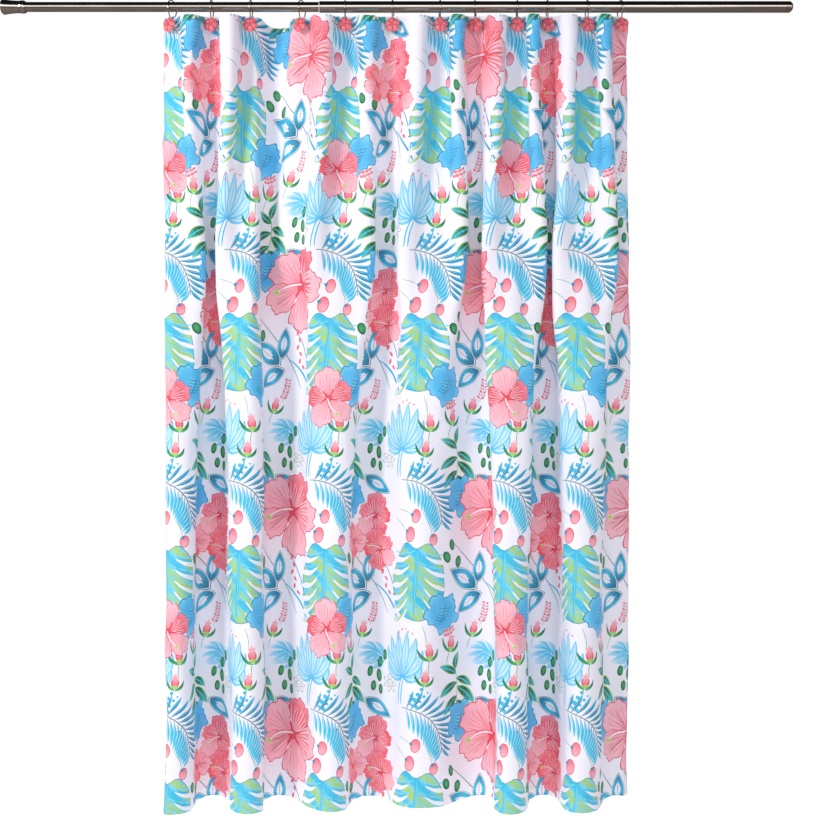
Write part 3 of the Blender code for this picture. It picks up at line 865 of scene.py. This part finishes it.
# one half repeat between two corners, cut along every printed edge: points, triangles, colours
def cutTile(layers, kind, low, high, holes):
    near = []
    for level in (0, 1):
        for across in (-1, 0, 1):
            for down in (-1, 0, 1):
                shift = np.array([across * repeat["wide"], down * repeat["tall"]])
                layer = layers[0] if level == 0 else layers[1 + (kind + across) % 2]
                near += [(outline + shift, paint, shift) for outline, paint in layer]
    near = [n for n in near if (n[0].max(0) > low).all() and (n[0].min(0) < high).all()]
    lines = []
    for axis, length in enumerate((repeat["wide"], repeat["tall"])):
        marks = np.linspace(0, length, repeat["cells"][axis] + 1)
        inner = marks[(marks > low[axis] + 0.5) & (marks < high[axis] - 0.5)]
        lines.append(np.concatenate([[low[axis]], inner, [high[axis]]]))
    net = np.stack(np.meshgrid(*lines), -1).reshape(-1, 2)
    columns = len(lines[0])
    points, faces, used = [net], [[0, columns - 1, len(net) - 1, len(net) - columns]], len(net)
    for outline in [n[0] for n in near] + holes:
        points.append(outline)
        faces.append(list(range(used, used + len(outline))))
        used += len(outline)
    corners, _, triangles, _, _, _ = delaunay_2d_cdt([Vector(p) for p in np.concatenate(points)], [],
                                                     faces, 0, 0.01, True)
    flat, chosen = np.array([(c.x, c.y) for c in corners]), np.array(triangles)
    middle = flat[chosen].mean(1)
    first, second = flat[chosen[:, 1]] - flat[chosen[:, 0]], flat[chosen[:, 2]] - flat[chosen[:, 0]]
    area = np.abs(first[:, 0] * second[:, 1] - first[:, 1] * second[:, 0])
    keep = (area > 1e-5) & (middle > low).all(1) & (middle < high).all(1)
    for outline in holes:
        keep &= ~insideOf(outline, middle)
    chosen, middle = chosen[keep], middle[keep]
    colours = np.ones((len(chosen), 3, 4))
    colours[..., :3] = ink["ground"]
    for outline, paint, shift in near:
        inBox = ((middle > outline.min(0)) & (middle < outline.max(0))).all(1).nonzero()[0]
        hit = inBox[insideOf(outline, middle[inBox])]
        if len(hit):
            colours[hit, :, :3] = paint((flat[chosen[hit]] - shift).reshape(-1, 2)).reshape(-1, 3, 3)
    return flat, chosen, colours


# lays the half repeats side by side on the flat cloth and hangs it
def clothMesh(grid, layers):
    size = cloth["size"] * 1000
    start = cloth["firstHole"] * 1000
    wide, high = (1000 * side for side in cloth["hole"])
    done, flats, faces, colours, used = {}, [], [], [], 0
    for i in range(-1, 6):
        for j in range(4):
            corner = np.array([start + repeat["wide"] * i, repeat["tall"] * j])
            lowest = np.maximum(-corner, 0)
            highest = np.minimum(size - corner, (repeat["wide"], repeat["tall"]))
            key = (i % 2, j == 0, *np.round(lowest, 3), *np.round(highest, 3))
            if key not in done:
                holes = [ovalOutline((u, 1000 * cloth["holeTop"] + high / 2), wide, high, 0, 16)
                         for u in (0, repeat["wide"] / 2, repeat["wide"])] if j == 0 else []
                done[key] = cutTile(layers, i % 2, lowest, highest, holes)
            flat, chosen, colour = done[key]
            flats.append(flat + corner)
            faces.append(chosen + used)
            colours.append(colour)
            used += len(flat)
    flat, chosen, colours = (np.concatenate(part) for part in (flats, faces, colours))
    _, first, same = np.unique(np.round(flat, 2), axis=0, return_index=True, return_inverse=True)
    flat, chosen, colours = flat[first], same.reshape(-1)[chosen][:, ::-1], colours[:, ::-1]
    whole = (chosen[:, 0] != chosen[:, 1]) & (chosen[:, 1] != chosen[:, 2]) & (chosen[:, 2] != chosen[:, 0])
    chosen, colours = chosen[whole], colours[whole]
    # welding can lay two faces on each other
    _, once = np.unique(np.sort(chosen, axis=1), axis=0, return_index=True)
    chosen, colours = chosen[np.sort(once)], colours[np.sort(once)]
    first, second = flat[chosen[:, 1]] - flat[chosen[:, 0]], flat[chosen[:, 2]] - flat[chosen[:, 0]]
    # slivers and faces the weld turned over go
    broad = first[:, 0] * second[:, 1] - first[:, 1] * second[:, 0] < -1e-4
    chosen, colours = chosen[broad], colours[broad]
    used, facing = np.unique(chosen, return_inverse=True)
    mesh = bpy.data.meshes.new("curtain_cloth")
    mesh.from_pydata(onCloth(grid, flat[used] / 1000).tolist(), [], facing.reshape(-1, 3).tolist())
    layer = mesh.color_attributes.new("print", "FLOAT_COLOR", "CORNER")
    layer.data.foreach_set("color", np.ascontiguousarray(colours).reshape(-1))
    uv = mesh.uv_layers.new(name="flat")
    uv.data.foreach_set("uv", (flat[chosen] / 1000).reshape(-1))
    mesh.shade_smooth()
    mesh.update()
    made = bpy.data.objects.new("curtain_cloth", mesh)
    bpy.context.collection.objects.link(made)
    print("cloth triangles", len(chosen))
    return made


def groupOf(name, sockets):
    made = bpy.data.node_groups.new(name, "ShaderNodeTree")
    for socketName, way, kind, value in sockets:
        socket = made.interface.new_socket(name=socketName, in_out=way, socket_type=kind)
        if value is not None:
            socket.default_value = value
    return made, made.nodes.new("NodeGroupInput"), made.nodes.new("NodeGroupOutput")


# fine scratches and smudges: a roughness and a bump height that vary over the surface
def wearGroup():
    made, given, result = groupOf("surface_wear", [
        ("Scale", "INPUT", "NodeSocketFloat", 60), ("Low", "INPUT", "NodeSocketFloat", 0.08),
        ("High", "INPUT", "NodeSocketFloat", 0.22), ("Roughness", "OUTPUT", "NodeSocketFloat", None),
        ("Height", "OUTPUT", "NodeSocketFloat", None)])
    nodes, links = made.nodes, made.links
    place = nodes.new("ShaderNodeTexCoord")
    smudge = nodes.new("ShaderNodeTexNoise")
    smudge.inputs["Detail"].default_value = 6
    links.new(place.outputs["Object"], smudge.inputs["Vector"])
    links.new(given.outputs["Scale"], smudge.inputs["Scale"])
    spread = nodes.new("ShaderNodeMapRange")
    spread.inputs["From Min"].default_value, spread.inputs["From Max"].default_value = 0.35, 0.7
    links.new(smudge.outputs["Fac"], spread.inputs["Value"])
    links.new(given.outputs["Low"], spread.inputs["To Min"])
    links.new(given.outputs["High"], spread.inputs["To Max"])
    links.new(spread.outputs["Result"], result.inputs["Roughness"])
    grain = nodes.new("ShaderNodeTexNoise")
    grain.inputs["Scale"].default_value = 900
    links.new(place.outputs["Object"], grain.inputs["Vector"])
    links.new(grain.outputs["Fac"], result.inputs["Height"])
    return made


# crossing yarns from the flat cloth's own coordinates: a height and a faint change of tone
def weaveGroup():
    made, given, result = groupOf("plain_weave", [
        ("Yarns", "INPUT", "NodeSocketFloat", 700), ("Height", "OUTPUT", "NodeSocketFloat", None),
        ("Tone", "OUTPUT", "NodeSocketFloat", None)])
    nodes, links = made.nodes, made.links
    flat = nodes.new("ShaderNodeUVMap")
    flat.uv_map = "flat"
    waves = []
    for way in ("X", "Y"):
        wave = nodes.new("ShaderNodeTexWave")
        wave.bands_direction = way
        wave.inputs["Distortion"].default_value = 1.5
        wave.inputs["Detail"].default_value = 1
        links.new(flat.outputs["UV"], wave.inputs["Vector"])
        links.new(given.outputs["Yarns"], wave.inputs["Scale"])
        waves.append(wave)
    crossed = nodes.new("ShaderNodeMath")
    crossed.operation = "MAXIMUM"
    links.new(waves[0].outputs["Fac"], crossed.inputs[0])
    links.new(waves[1].outputs["Fac"], crossed.inputs[1])
    links.new(crossed.outputs[0], result.inputs["Height"])
    slub = nodes.new("ShaderNodeTexNoise")
    slub.inputs["Scale"].default_value = 26
    slub.inputs["Detail"].default_value = 8
    links.new(flat.outputs["UV"], slub.inputs["Vector"])
    links.new(slub.outputs["Fac"], result.inputs["Tone"])
    return made


def addGroup(material, group, **values):
    node = material.node_tree.nodes.new("ShaderNodeGroup")
    node.node_tree = group
    for name, value in values.items():
        node.inputs[name].default_value = value
    return node


def addBump(material, source, strength, distance):
    bump = material.node_tree.nodes.new("ShaderNodeBump")
    bump.inputs["Strength"].default_value = strength
    bump.inputs["Distance"].default_value = distance
    material.node_tree.links.new(source, bump.inputs["Height"])
    material.node_tree.links.new(bump.outputs["Normal"],
                                 material.node_tree.nodes["Principled BSDF"].inputs["Normal"])


# base tone drifting a little to a second one, with worn roughness and a fine grain
def wornMaterial(name, colour, metallic, low, high, scale=60, bump=0.03, second=None):
    made = newMaterial(name)
    nodes, links = made.node_tree.nodes, made.node_tree.links
    shader = nodes["Principled BSDF"]
    shader.inputs["Metallic"].default_value = metallic
    wear = addGroup(made, surfaceWear, Scale=scale, Low=low, High=high)
    links.new(wear.outputs["Roughness"], shader.inputs["Roughness"])
    addBump(made, wear.outputs["Height"], bump, 0.0004)
    drift = nodes.new("ShaderNodeTexNoise")
    drift.inputs["Scale"].default_value = 18
    drift.inputs["Detail"].default_value = 5
    tones = nodes.new("ShaderNodeValToRGB")
    first = linear(colour)
    other = linear(second) if second else first * 0.82
    tones.color_ramp.elements[0].position, tones.color_ramp.elements[0].color = 0.35, (*other, 1)
    tones.color_ramp.elements[1].position, tones.color_ramp.elements[1].color = 0.62, (*first, 1)
    links.new(drift.outputs["Fac"], tones.inputs["Fac"])
    links.new(tones.outputs["Color"], shader.inputs["Base Color"])
    return made


def clothMaterial():
    made = newMaterial("printed_polyester")
    nodes, links = made.node_tree.nodes, made.node_tree.links
    shader = nodes["Principled BSDF"]
    colour = nodes.new("ShaderNodeVertexColor")
    colour.layer_name = "print"
    weave = addGroup(made, plainWeave, Yarns=900)
    wash = nodes.new("ShaderNodeMapRange")
    wash.inputs["From Min"].default_value, wash.inputs["From Max"].default_value = 0.3, 0.7
    wash.inputs["To Min"].default_value, wash.inputs["To Max"].default_value = 0.0, 0.05
    links.new(weave.outputs["Tone"], wash.inputs["Value"])
    washed = nodes.new("ShaderNodeMix")
    washed.data_type = "RGBA"
    links.new(wash.outputs["Result"], washed.inputs["Factor"])
    links.new(colour.outputs["Color"], washed.inputs[6])
    washed.inputs[7].default_value = (1, 1, 1, 1)
    back = nodes.new("ShaderNodeMix")
    back.data_type = "RGBA"
    back.inputs["Factor"].default_value = 0.62
    links.new(washed.outputs[2], back.inputs[6])
    back.inputs[7].default_value = (0.92, 0.92, 0.95, 1)
    side = nodes.new("ShaderNodeNewGeometry")
    both = nodes.new("ShaderNodeMix")
    both.data_type = "RGBA"
    links.new(side.outputs["Backfacing"], both.inputs["Factor"])
    links.new(washed.outputs[2], both.inputs[6])
    links.new(back.outputs[2], both.inputs[7])
    links.new(both.outputs[2], shader.inputs["Base Color"])
    shader.inputs["Roughness"].default_value = 0.72
    shader.inputs["Specular IOR Level"].default_value = 0.25
    shader.inputs["Sheen Weight"].default_value = 0.06
    addBump(made, weave.outputs["Height"], 0.12, 0.0003)
    return made


def finishMesh(bm, name, material, smoothAngle=40):
    bmesh.ops.recalc_face_normals(bm, faces=bm.faces)
    made = addMesh(name, bm)
    made.data.shade_smooth()
    made.data.set_sharp_from_angle(angle=math.radians(smoothAngle))
    made.data.materials.append(material)
    return made


# turns a closed profile of (x, radius) about the X axis
def lathe(profile, sides):
    bm = bmesh.new()
    rings = []
    for x, radius in profile:
        turns = [2 * math.pi * n / sides for n in range(sides)]
        if radius < 1e-6:
            rings.append([bm.verts.new((x, 0, 0))])
        else:
            rings.append([bm.verts.new((x, radius * math.cos(t), radius * math.sin(t))) for t in turns])
    for a, b in zip(rings, rings[1:] + ([] if len(rings[0]) == 1 else rings[:1])):
        for n in range(sides):
            corners = (a[n % len(a)], a[(n + 1) % len(a)], b[(n + 1) % len(b)], b[n % len(b)])
            bm.faces.new(list(dict.fromkeys(corners)))
    return bm


def sweep(points, radii, sides):
    bm = bmesh.new()
    rings, side = [], Vector((1, 0, 0))
    for n, (point, radius) in enumerate(zip(points, radii)):
        along = (points[min(n + 1, len(points) - 1)] - points[max(n - 1, 0)]).normalized()
        side = (side - along * side.dot(along)).normalized()
        up = along.cross(side)
        turns = [2 * math.pi * k / sides for k in range(sides)]
        rings.append([bm.verts.new(point + (side * math.cos(t) + up * math.sin(t)) * radius)
                      for t in turns])
    for a, b in zip(rings, rings[1:]):
        for n in range(sides):
            bm.faces.new((a[n], a[(n + 1) % sides], b[(n + 1) % sides], b[n]))
    bm.faces.new(rings[0])
    bm.faces.new(rings[-1])
    return bm


hook = {
    "turn": [-24, -3, -3, -24, 2, -7, 5, -9, 0, 1, 5, 12],     # degrees about the vertical
    "wire": 0.00125,
    "arch": 0.0170,
    "archTop": 0.01445,                            # wire's centre line over the rod
    "leg": 0.0090,
    "bead": 0.0028,
    "plate": (0.0150, 0.0010),                     # radius and thickness
    "flower": 0.0170,
    "flowerThick": 0.0075,
    "flowerZ": -0.0450,
    "sides": 12,
    "backLeg": [                                   # down the back, round the throat and up to the tip
        (0.0125, -0.0190), (0.0098, -0.0270), (0.0070, -0.0325), (0.0035, -0.0356),
        (0.0005, -0.0362), (-0.0028, -0.0345), (-0.0046, -0.0310),
    ],
}


# wire's centre line and radius: front leg, bead, arch, back leg, throat and tip
def hookRoute():
    archZ = hook["archTop"] - hook["arch"]

    def onArch(degrees):
        angle = math.radians(degrees)
        return Vector((0, -hook["arch"] * math.cos(angle), archZ + hook["arch"] * math.sin(angle)))

    low = hook["flowerZ"]
    knots = [Vector((0, -hook["leg"], low + rise)) for rise in (0, 0.009, 0.0175)]
    knots += [knots[2].lerp(onArch(-14), share) for share in (0.35, 0.7)]
    knots += [onArch(d) for d in range(-14, 196, 16)]
    knots += [Vector((0, y, z)) for y, z in hook["backLeg"]]
    points = []
    for n in range(len(knots) - 1):
        a, b, c, d = knots[max(n - 1, 0)], knots[n], knots[n + 1], knots[min(n + 2, len(knots) - 1)]
        for step in range(4):
            w = cubicWeights(np.array(step / 4))
            points.append(a * w[0] + b * w[1] + c * w[2] + d * w[3])
    points.append(knots[-1])
    radii = [hook["wire"]] * len(points)
    tip = points[-1] - points[-2]
    for step in (0.5, 0.85, 1.0):                  # rounded tip
        points.append(points[-1] + tip.normalized() * hook["wire"] * 0.35)
        radii.append(hook["wire"] * math.sqrt(max(1 - step ** 2, 0.02)))
    return points, radii, onArch(-6.5)


def flowerRim(angle):
    petal = abs(math.cos(2.5 * angle))
    return hook["flower"] * (0.80 + 0.20 * petal ** 0.6)


# cast hibiscus: five domed petals with grooves, veins, a ruffled rim and a raised eye
def flowerMesh():
    bm = bmesh.new()
    around, steps = 160, 26
    rings = []
    for step in range(1, steps + 1):
        share = step / steps
        ring = []
        for n in range(around):
            angle = 2 * math.pi * n / around
            reach = flowerRim(angle) * share
            petal = abs(math.cos(2.5 * angle))
            seam = math.exp(-((petal / 0.22) ** 2)) * share ** 0.5
            dome = (1 - share ** 5) ** 0.7
            cup = 0.62 + 0.30 * math.sin(math.pi * share ** 0.8)
            veins = 0.5 + 0.5 * math.cos(35 * angle)
            height = 0.0068 * dome * cup * (1 - 0.42 * seam) - 0.00028 * veins * share * (1 - share) * 4
            height += 0.00035 * math.sin(20 * angle) * share ** 3 * (1 - share ** 8)
            eyeRise = 0.0022 * math.exp(-((share / 0.15) ** 2))
            eyeDip = 0.0012 * math.exp(-(((share - 0.23) / 0.06) ** 2))
            height += eyeRise - eyeDip
            depth = min(max(height, 0.0003), hook["flowerThick"] - 0.0001)
            ring.append(bm.verts.new((reach * math.sin(angle), -depth, reach * math.cos(angle))))
        rings.append(ring)
    eye = bm.verts.new((0, -hook["flowerThick"] + 0.0002, 0))
    back = [bm.verts.new((v.co.x * 0.97, 0, v.co.z * 0.97)) for v in rings[-1]]
    base = bm.verts.new((0, 0, 0))
    for n in range(around):
        k = (n + 1) % around
        bm.faces.new((eye, rings[0][n], rings[0][k]))
        for a, b in zip(rings, rings[1:]):
            bm.faces.new((a[n], b[n], b[k], a[k]))
        bm.faces.new((rings[-1][n], back[n], back[k], rings[-1][k]))
        bm.faces.new((back[n], base, back[k]))
    return bm


def resinMaterial():
    made = wornMaterial("coral_resin", "F4808A", 0, 0.24, 0.40, 90, 0.05, "E96873")
    shader = made.node_tree.nodes["Principled BSDF"]
    shader.inputs["Coat Weight"].default_value = 0.25
    shader.inputs["Subsurface Weight"].default_value = 0.08
    shader.inputs["Subsurface Radius"].default_value = (0.004, 0.0015, 0.001)
    nodes, links = made.node_tree.nodes, made.node_tree.links
    ramp = next(n for n in nodes if n.bl_idname == "ShaderNodeValToRGB")
    # painted shade: ambient occlusion darkens the resin colour towards B83A4C in the flower's grooves and
    # hollows
    creaseShadeAO = nodes.new("ShaderNodeAmbientOcclusion")
    creaseShadeAO.inputs["Distance"].default_value = 0.004
    creaseShadeAO.samples = 8
    paintedCreaseShade = nodes.new("ShaderNodeMix")
    paintedCreaseShade.data_type = "RGBA"
    paintedCreaseShade.inputs[6].default_value = (*linear("B83A4C"), 1)
    links.new(creaseShadeAO.outputs["AO"], paintedCreaseShade.inputs["Factor"])
    links.new(ramp.outputs["Color"], paintedCreaseShade.inputs[7])
    links.new(paintedCreaseShade.outputs[2], shader.inputs["Base Color"])
    return made


def makeHooks(steel, bright, plateAndShade, resin):
    route, radii, beadAt = hookRoute()
    plateY = -hook["leg"] - hook["wire"] - 0.0003 - hook["plate"][1] / 2
    flowerY = plateY - hook["plate"][1] / 2 - 0.0003
    plateAt = Matrix.Translation((0, plateY, hook["flowerZ"]))
    flowerAt = Matrix.Translation((0, flowerY, hook["flowerZ"]))
    wireMesh = finishMesh(sweep(route, radii, hook["sides"]), "hook_wire", steel, 60)
    bead = bmesh.new()
    bmesh.ops.create_uvsphere(bead, u_segments=24, v_segments=14, radius=hook["bead"])
    # the bead's finish is a painted highlight
    beadMesh = finishMesh(bead, "bead", bright, 60)
    r, thick = hook["plate"]
    profile = [(thick / 2, 0), (thick / 2, r - 0.0002), (thick / 2 - 0.0002, r), (-thick / 2 + 0.0002, r),
               (-thick / 2, r - 0.0002), (-thick / 2, 0)]
    # the plate's near-black finish between the petals is painted shade for the flower's shadow
    plateMesh = finishMesh(lathe(profile, 48), "plate", plateAndShade, 30)
    flower = finishMesh(flowerMesh(), "flower", resin, 60)
    for n, (x, degrees) in enumerate(zip(hookX, hook["turn"]), 1):
        turn = Matrix.Translation((x, 0, 0)) @ Matrix.Rotation(math.radians(degrees), 4, "Z")
        parts = [
            (f"hook_{n}_wire", wireMesh, turn, f"hook_wire_{n}", "steel"),
            (f"hook_{n}_bead", beadMesh, turn @ Matrix.Translation(beadAt), None, "steel"),
            (f"hook_{n}_plate", plateMesh,
             turn @ plateAt @ Matrix.Rotation(math.radians(90), 4, "Z"),
             f"flower_plate_{n}", "plate"),
            (f"hook_{n}_flower", flower,
             turn @ flowerAt @ Matrix.Rotation(math.radians(11 * n % 72), 4, "Y"),
             f"flower_{n}", "resin"),
        ]
        for name, source, place, node, slot in parts:
            copy = source.copy()
            copy.data = source.data.copy()
            copy.name = name
            bpy.context.collection.objects.link(copy)
            copy.data.transform(place)
            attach(copy, f"hook_{n}")
            if node:
                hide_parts(node)
    for source in (wireMesh, beadMesh, plateMesh, flower):
        bpy.data.objects.remove(source)


def tubeProfile(low, high, radius, wall, edge=0.0002):
    inside = radius - wall
    return [(low + edge, inside), (high - edge, inside), (high, inside + edge), (high, radius - edge),
            (high - edge, radius), (low + edge, radius), (low, radius - edge), (low, inside + edge)]


def boxEnds(node):
    low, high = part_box(node)
    return low[0], high[0], (high[2] - low[2]) / 2


# profile of a ring: its bore, then the outer points
def ringed(low, high, inner, points):
    return [(low, inner), (high, inner)] + points


rod = {
    "thickWall": 0.0006,
    "thinWall": 0.0007,
    "sides": 96,
    "bore": 0.0113,                                # of the collar and the flared cap
    "collarEdge": 0.0122,
    "capNeck": 0.0138,
    "padSides": 64,
}


def makeRod(nickel, bright, rubber, cap):
    low, high, r = boxEnds("outer_tube")
    thick = lathe(tubeProfile(low, high, r, rod["thickWall"]), rod["sides"])
    addRodPiece("thick_tube", thick, nickel, "fixed_half", "outer_tube")
    low, high, r = boxEnds("inner_tube")
    thin = lathe(tubeProfile(low, high, r, rod["thinWall"]), rod["sides"])
    addRodPiece("thin_tube", thin, nickel, "sliding_half", "inner_tube")
    low, high, r = boxEnds("collar_ring")
    turns = [math.pi * n / 20 for n in range(21)]
    ring = [((low + high) / 2 + (high - low) / 2 * math.cos(t),
             rod["collarEdge"] + (r - rod["collarEdge"]) * math.sin(t) ** 0.7) for t in turns]
    addRodPiece("collar", lathe(ringed(low, high, rod["bore"], ring), rod["sides"]), bright, "sliding_half",
                "collar_ring")
    low, high, r = boxEnds("left_end_cap")
    neck, inner = rod["capNeck"], rod["bore"]
    flare = [(high, neck - 0.0008)]
    for n in range(25):
        share = n / 24
        flare.append((high - 0.0008 - (high - low - 0.0030) * share, neck + (r - neck) * share ** 2))
    flare += [(low + 0.0006, r - 0.0001), (low, r - 0.0010), (low, 0.0060), (high - 0.0283, 0.0060)]
    addRodPiece("flared_cap", lathe(ringed(high - 0.0283, high, inner, flare), rod["sides"]), bright,
                "sliding_half", "left_end_cap")
    low, high, r = boxEnds("right_end_plug")
    head = high - 0.0135
    plug = [(low, 0), (low, 0.0118), (head - 0.0002, 0.0118), (head, 0.0120), (head, r - 0.0003),
            (head + 0.0003, r)]
    for n in range(13):
        angle = math.pi / 2 * n / 12
        plug.append((high - 0.0045 * (1 - math.sin(angle)), r - 0.0032 * (1 - math.cos(angle))))
    plug.append((high, 0))
    addRodPiece("rounded_plug", lathe(plug, rod["sides"]), cap, "fixed_half", "right_end_plug")
    for node, body, facing in (("left_wall_pad", "sliding_half", -1), ("right_wall_pad", "fixed_half", 1)):
        low, high, r = boxEnds(node)
        ends = (low, high) if facing > 0 else (high, low)
        pad = [(ends[0], 0), (ends[0], r - 0.0003), (ends[0] + 0.0003 * facing, r),
               (ends[1] - 0.0008 * facing, r)]
        pad += [(ends[1], r - 0.0010)]
        for n in range(4):                         # moulded rings on the face that grips the wall
            at = r * (0.78 - 0.2 * n)
            pad += [(ends[1], at + 0.0006), (ends[1] - 0.0003 * facing, at + 0.0003),
                    (ends[1] - 0.0003 * facing, at - 0.0003),
                    (ends[1], at - 0.0006)]
        pad.append((ends[1], 0))
        addRodPiece(node + "_moulded", lathe(pad, rod["padSides"]), rubber, body, node)


spring = {
    "radius": 0.0072,
    "wire": 0.0010,
    "turns": 10,
    "fine": 28,                                    # points in one turn
    "sides": 10,
    "gap": 0.0013,                                 # from the plug or the cam to the wire's middle
}


# the tension spring, coiled from the inner plug to the lock cam; the real one shortens as the rod is
# pressed in, this one rides with the lock carriage at one length
def makeSpring(steel):
    low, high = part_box("inner_plug")[1][0] + spring["gap"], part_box("lock_cam")[0][0] - spring["gap"]
    turns, fine = spring["turns"], spring["fine"]
    points = []
    for n in range(turns * fine + 1):
        share = n / (turns * fine)
        angle = 2 * math.pi * turns * share
        points.append(Vector((low + (high - low) * share, spring["radius"] * math.sin(angle),
                              spring["radius"] * math.cos(angle))))
    coil = sweep(points, [spring["wire"]] * len(points), spring["sides"])
    made = finishMesh(coil, "coiled_spring", steel, 60)
    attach(made, "lock_carriage")
    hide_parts("tension_spring")
    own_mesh(made)


def addRodPiece(name, bm, material, body, node):
    made = finishMesh(bm, name, material, 32)
    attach(made, body)
    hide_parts(node)


sewing = {
    "hems": (0.038, 0.025, 0.012),                 # top, bottom and side
    "stitch": 0.0042,                              # from one stitch to the next
    "thread": (0.0030, 0.00055, 0.00045),          # a stitch's length, width and height
}


# unit vectors out of the cloth's room side at points of the flat cloth
def clothNormals(grid, flat):
    step = 0.0015
    right = onCloth(grid, flat + (step, 0), True) - onCloth(grid, flat - (step, 0), True)
    down = onCloth(grid, flat + (0, step), True) - onCloth(grid, flat - (0, step), True)
    out = np.cross(down, right)
    out /= np.linalg.norm(out, axis=1)[:, None]
    return out, right / np.linalg.norm(right, axis=1)[:, None], down / np.linalg.norm(down, axis=1)[:, None]


# points along each row of sewing: place on the flat cloth, and whether it runs down
def stitchLines():
    top, bottom, sideHem = sewing["hems"]
    size, step = cloth["size"], sewing["stitch"]
    along = np.arange(sideHem, size - sideHem, step)
    level = [np.stack([along, np.full(len(along), v)], 1) for v in (top - 0.003, size - bottom + 0.002)]
    upright = [np.stack([np.full(len(along), u), along], 1)
               for u in (sideHem - 0.002, size - sideHem + 0.002)]
    return np.concatenate(level), np.concatenate(upright)


# every stitch of the hems and the satin edging of the twelve buttonholes
def sewnThread(grid, material):
    long, wide, high = sewing["thread"]
    places, faces = [], []
    used = 0
    for points, runsDown in zip(stitchLines(), (False, True)):
        centre = onCloth(grid, points)
        out, right, down = clothNormals(grid, points)
        run, across = (down, right) if runsDown else (right, down)
        centre = centre + out * 0.00050
        corners = np.stack([centre - run * long / 2, centre - run * long / 4 + across * wide / 2,
                            centre - run * long / 4 + out * high,
                            centre - run * long / 4 - across * wide / 2,
                            centre + run * long / 4 + across * wide / 2,
                            centre + run * long / 4 + out * high,
                            centre + run * long / 4 - across * wide / 2,
                            centre + run * long / 2], 1)
        pattern = [(0, 1, 2), (0, 2, 3), (0, 3, 1), (1, 4, 5, 2), (2, 5, 6, 3), (3, 6, 4, 1), (7, 5, 4),
                   (7, 6, 5), (7, 4, 6)]
        for n in range(len(points)):
            faces += [tuple(used + 8 * n + k for k in face) for face in pattern]
        places.append(corners.reshape(-1, 3))
        used += 8 * len(points)
    wideHole, highHole = cloth["hole"]
    around, section = 40, 8
    for n in range(hookCount):
        t = np.linspace(0, 2 * np.pi, around, endpoint=False)
        ring = np.stack([cloth["firstHole"] + n * pitch + (wideHole / 2 + 0.0004) * np.cos(t),
                         cloth["holeTop"] + highHole / 2 + (highHole / 2 + 0.0004) * np.sin(t)], 1)
        centre = onCloth(grid, ring)
        out, right, down = clothNormals(grid, ring)
        radial = right * np.cos(t)[:, None] + down * np.sin(t)[:, None]
        for k in range(section):
            angle = 2 * math.pi * k / section
            ridge = 1 + 0.18 * np.cos(np.arange(around) * math.pi)[:, None]
            places.append(centre + (radial * math.cos(angle) * 0.0011
                                    + out * math.sin(angle) * 0.0006) * ridge)
        for k in range(section):
            for m in range(around):
                a, b = used + k * around, used + (k + 1) % section * around
                faces.append((a + m, a + (m + 1) % around, b + (m + 1) % around, b + m))
        used += section * around
    mesh = bpy.data.meshes.new("sewn_thread")
    mesh.from_pydata(np.concatenate(places).tolist(), [], faces)
    bm = bmesh.new()
    bm.from_mesh(mesh)
    return finishMesh(bm, "sewn_thread", material, 70)


def hangs(piece):
    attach(piece, "curtain")
    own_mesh(piece)


surfaceWear = wearGroup()
plainWeave = weaveGroup()
makeStudio()
makeCamera()
nickelFinish = wornMaterial("polished_nickel", "B9B4AE", 1, 0.10, 0.20, 14, 0.02, "A9A39C")
brightFinish = wornMaterial("bright_nickel", "CBC7C1", 1, 0.08, 0.18, 40, 0.02, "B8B3AC")
capFinish = wornMaterial("nickel_plated_plastic", "A8A39D", 1, 0.14, 0.26, 50, 0.03, "97918A")
wireFinish = wornMaterial("steel_wire", "6A6663", 1, 0.18, 0.34, 80, 0.04, "55514E")
# painted highlight: the bead's near-white, barely metallic colour stands in for the glint on a polished
# steel bead
beadPaintedHighlight = wornMaterial("bead_painted_highlight", "F6F2EA", 0.25, 0.12, 0.22, 80, 0.02, "E8E2D6")
# partly painted shade: the steel plate behind each flower is real, but its near-black tone, showing between
# the petals, stands in for the flower's shadow on the cloth
darkPlateAndShade = wornMaterial("dark_steel_plate_and_painted_shade", "2A1218", 0.2, 0.3, 0.5, 70, 0.04, "160A0E")
rubberFinish = wornMaterial("soft_rubber", "2E2E30", 0, 0.62, 0.82, 90, 0.12, "3A3A3C")
nylonFinish = wornMaterial("white_nylon", "E6E3DC", 0, 0.38, 0.55, 60, 0.05, "D6D2C9")
threadFinish = wornMaterial("white_thread", "F2F0F4", 0, 0.7, 0.9, 200, 0.2, "E4E2EA")
makeRod(nickelFinish, brightFinish, rubberFinish, capFinish)
makeSpring(wireFinish)
makeHooks(wireFinish, beadPaintedHighlight, darkPlateAndShade, resinMaterial())
print("rod and hooks made")
for part in list(bpy.context.scene.objects):       # pieces that keep the shapes they came with
    for slotIndex, slot in enumerate(part.material_slots):
        if part.name in ("mouth_bush", "inner_plug", "lock_cam"):
            slot.material = nylonFinish
        if part.name == "screw_spindle":
            slot.material = wireFinish
printed = drawPrint()
print("print drawn", [len(layer) for layer in printed])
hanging = hangGrid()
hanging = settled(hanging)
print("cloth hung")
curtain = clothMesh(hanging, printed)
curtain.data.materials.append(clothMaterial())
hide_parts("curtain_panel")
thread = sewnThread(hanging, threadFinish)
hangs(curtain)
hangs(thread)
